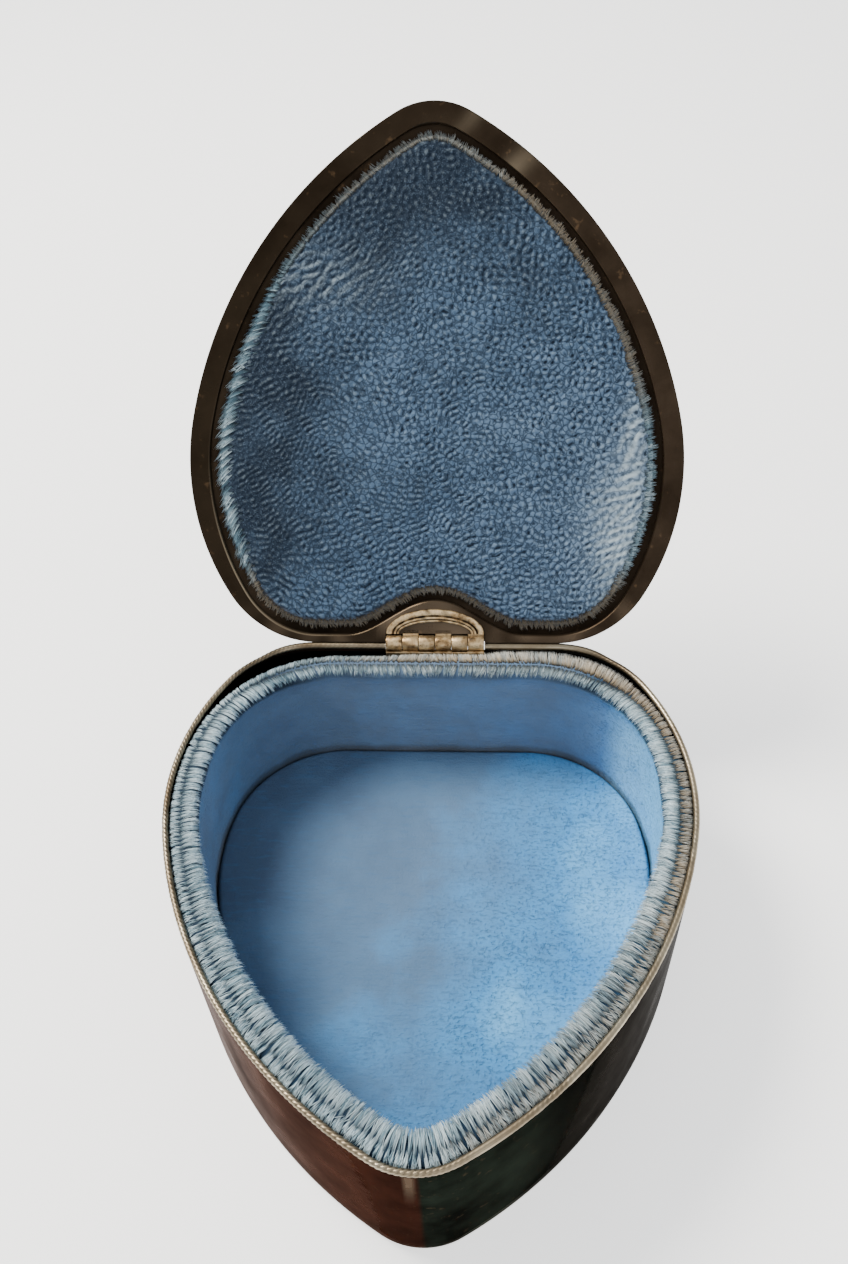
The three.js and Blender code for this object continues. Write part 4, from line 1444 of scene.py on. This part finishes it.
row_starts = np.arange(rows) * columns
straight = np.concatenate([row_starts[::-1], [front_middle], row_starts + columns - 1])
plate_faces = [grid_quads(rows, columns, close_columns=False)]
for line, middle_point in (
    (first + row_starts[-1], front_middle), (first[::-1], back_middle), (straight[::-1], back_middle),
):
    to_middle = np.full(len(line) - 1, middle_point)
    plate_faces.append(np.stack([line[:-1], line[1:], to_middle], 1))
starts, parts = knuckle_rings(1)
for start in starts:
    parts.append(soft_block(
        [start, -BARREL_SPACE - WEB, BORDER_PLANE], [start + knuckle, web_top, BORDER_PLANE + PLATE],
    ))
points, faces = joined([(plate_points, plate_faces)] + parts)
hollow = np.full(len(points), 0.25)
hollow[: rows * columns] = np.repeat(plate_hollow, columns)
hollow[[front_middle, back_middle]] = plate_hollow[-1, 0], 1.0
lid_leaf = new_piece(
    "lid_hinge_leaf_and_plate", open_lid(points), faces,
    "lid", "gilt_brass", gilt_brass, smooth_angle=35,
    hollow=np.clip(hollow + 0.4 * ripple(points, 1.4, seed=82), 0, 1),
)
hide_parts("lid_hinge_leaf")

# %% [markdown]
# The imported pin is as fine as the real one, so it only takes the finish of the brass.

# %% Hinge pin
pin = frame["nodes"]["hinge_pin"]
pin.data.materials.clear()
pin.data.materials.append(gilt_brass)

# %% [markdown]
# ## Floor, light and camera
#
# The box stands on a plain pale floor, which gives off a little light so that it comes out nearly
# white. A large soft light high on the left and slightly behind grazes the crushed velvet in the lid
# and fills the case from above. A weaker one in front and a white sky lift the shadows.

# %% Stage
HALF_STAGE = 1.5
stage_mesh = bpy.data.meshes.new("pale_floor")
stage_corners = [(x * HALF_STAGE, y * HALF_STAGE, 0) for x, y in ((-1, -1), (1, -1), (1, 1), (-1, 1))]
stage_mesh.from_pydata(stage_corners, [], [(0, 1, 2, 3)])
pale_floor = bpy.data.objects.new("pale_floor", stage_mesh)
bpy.context.scene.collection.objects.link(pale_floor)
pale_paint, tree, shader = new_finish("pale_floor_paint", Roughness=0.9)
shader.inputs["Base Color"].default_value = linear("#f4f4f2")
shader.inputs["Emission Color"].default_value = linear("#ffffff")
shader.inputs["Emission Strength"].default_value = 1.1
stage_mesh.materials.append(pale_paint)

world = bpy.data.worlds.new("pale_sky")
bpy.context.scene.world = world
world.use_nodes = True
world.node_tree.nodes["Background"].inputs["Color"].default_value = linear("#f3f5f8")
world.node_tree.nodes["Background"].inputs["Strength"].default_value = 1.0


# %% Lights
def soft_light(name, place, aim, size, power, colour):
    """An area light that looks from its place to its aim, in metres."""
    data = bpy.data.lights.new(name, "AREA")
    data.shape = "DISK"
    data.size = size
    data.energy = power
    data.color = linear(colour)[:3]
    lamp = bpy.data.objects.new(name, data)
    turn = (Vector(aim) - Vector(place)).to_track_quat("-Z", "Y")
    lamp.matrix_world = Matrix.Translation(place) @ turn.to_matrix().to_4x4()
    bpy.context.scene.collection.objects.link(lamp)


box_middle = (0.0, 0.01, 0.03)
soft_light("key_light", (-0.40, 0.20, 0.64), box_middle, 0.32, 9.5, "#fffaf2")
soft_light("front_fill", (0.2, -0.7, 0.6), box_middle, 0.7, 2.0, "#f6f8ff")

# %% [markdown]
# ## The camera
#
# The numbers come from matching the model's outlines to the photograph. The camera looks down at
# the box from just in front: its direction is given by an elevation of about 47° and an azimuth,
# then a small roll, and a lens worked out from the focal length in pixels on a frame of 848 by 1264.

# %% Camera
FRAME_HEIGHT_PX = 1264
FOCAL_PX = 1155.0
SENSOR_MM = 36.0
ELEVATION = math.radians(47.17)
AZIMUTH = math.radians(4.18)
ROLL = math.radians(-2.75)
DISTANCE_MM = 219.4
TARGET_MM = (-2.2, CASE_HEART["back"] + 3.0, RIM)

back_to_camera = Vector((
    math.sin(AZIMUTH) * math.cos(ELEVATION),
    -math.cos(AZIMUTH) * math.cos(ELEVATION),
    math.sin(ELEVATION),
))
level_x = Vector((0, 0, 1)).cross(back_to_camera).normalized()
level_y = back_to_camera.cross(level_x)
image_x = math.cos(ROLL) * level_x + math.sin(ROLL) * level_y
image_y = -math.sin(ROLL) * level_x + math.cos(ROLL) * level_y
camera_data = bpy.data.cameras.new("camera")
camera_data.sensor_width = SENSOR_MM
camera_data.sensor_fit = "AUTO"
camera_data.lens = FOCAL_PX * SENSOR_MM / FRAME_HEIGHT_PX
camera_data.clip_start = 0.01
camera = bpy.data.objects.new("camera", camera_data)
turn = Matrix((image_x, image_y, back_to_camera)).transposed().to_4x4()
camera_place = Vector(TARGET_MM) * MM + back_to_camera * DISTANCE_MM * MM
camera.matrix_world = Matrix.Translation(camera_place) @ turn
bpy.context.scene.collection.objects.link(camera)
bpy.context.scene.camera = camera
print("lens", round(camera_data.lens, 2), "mm")
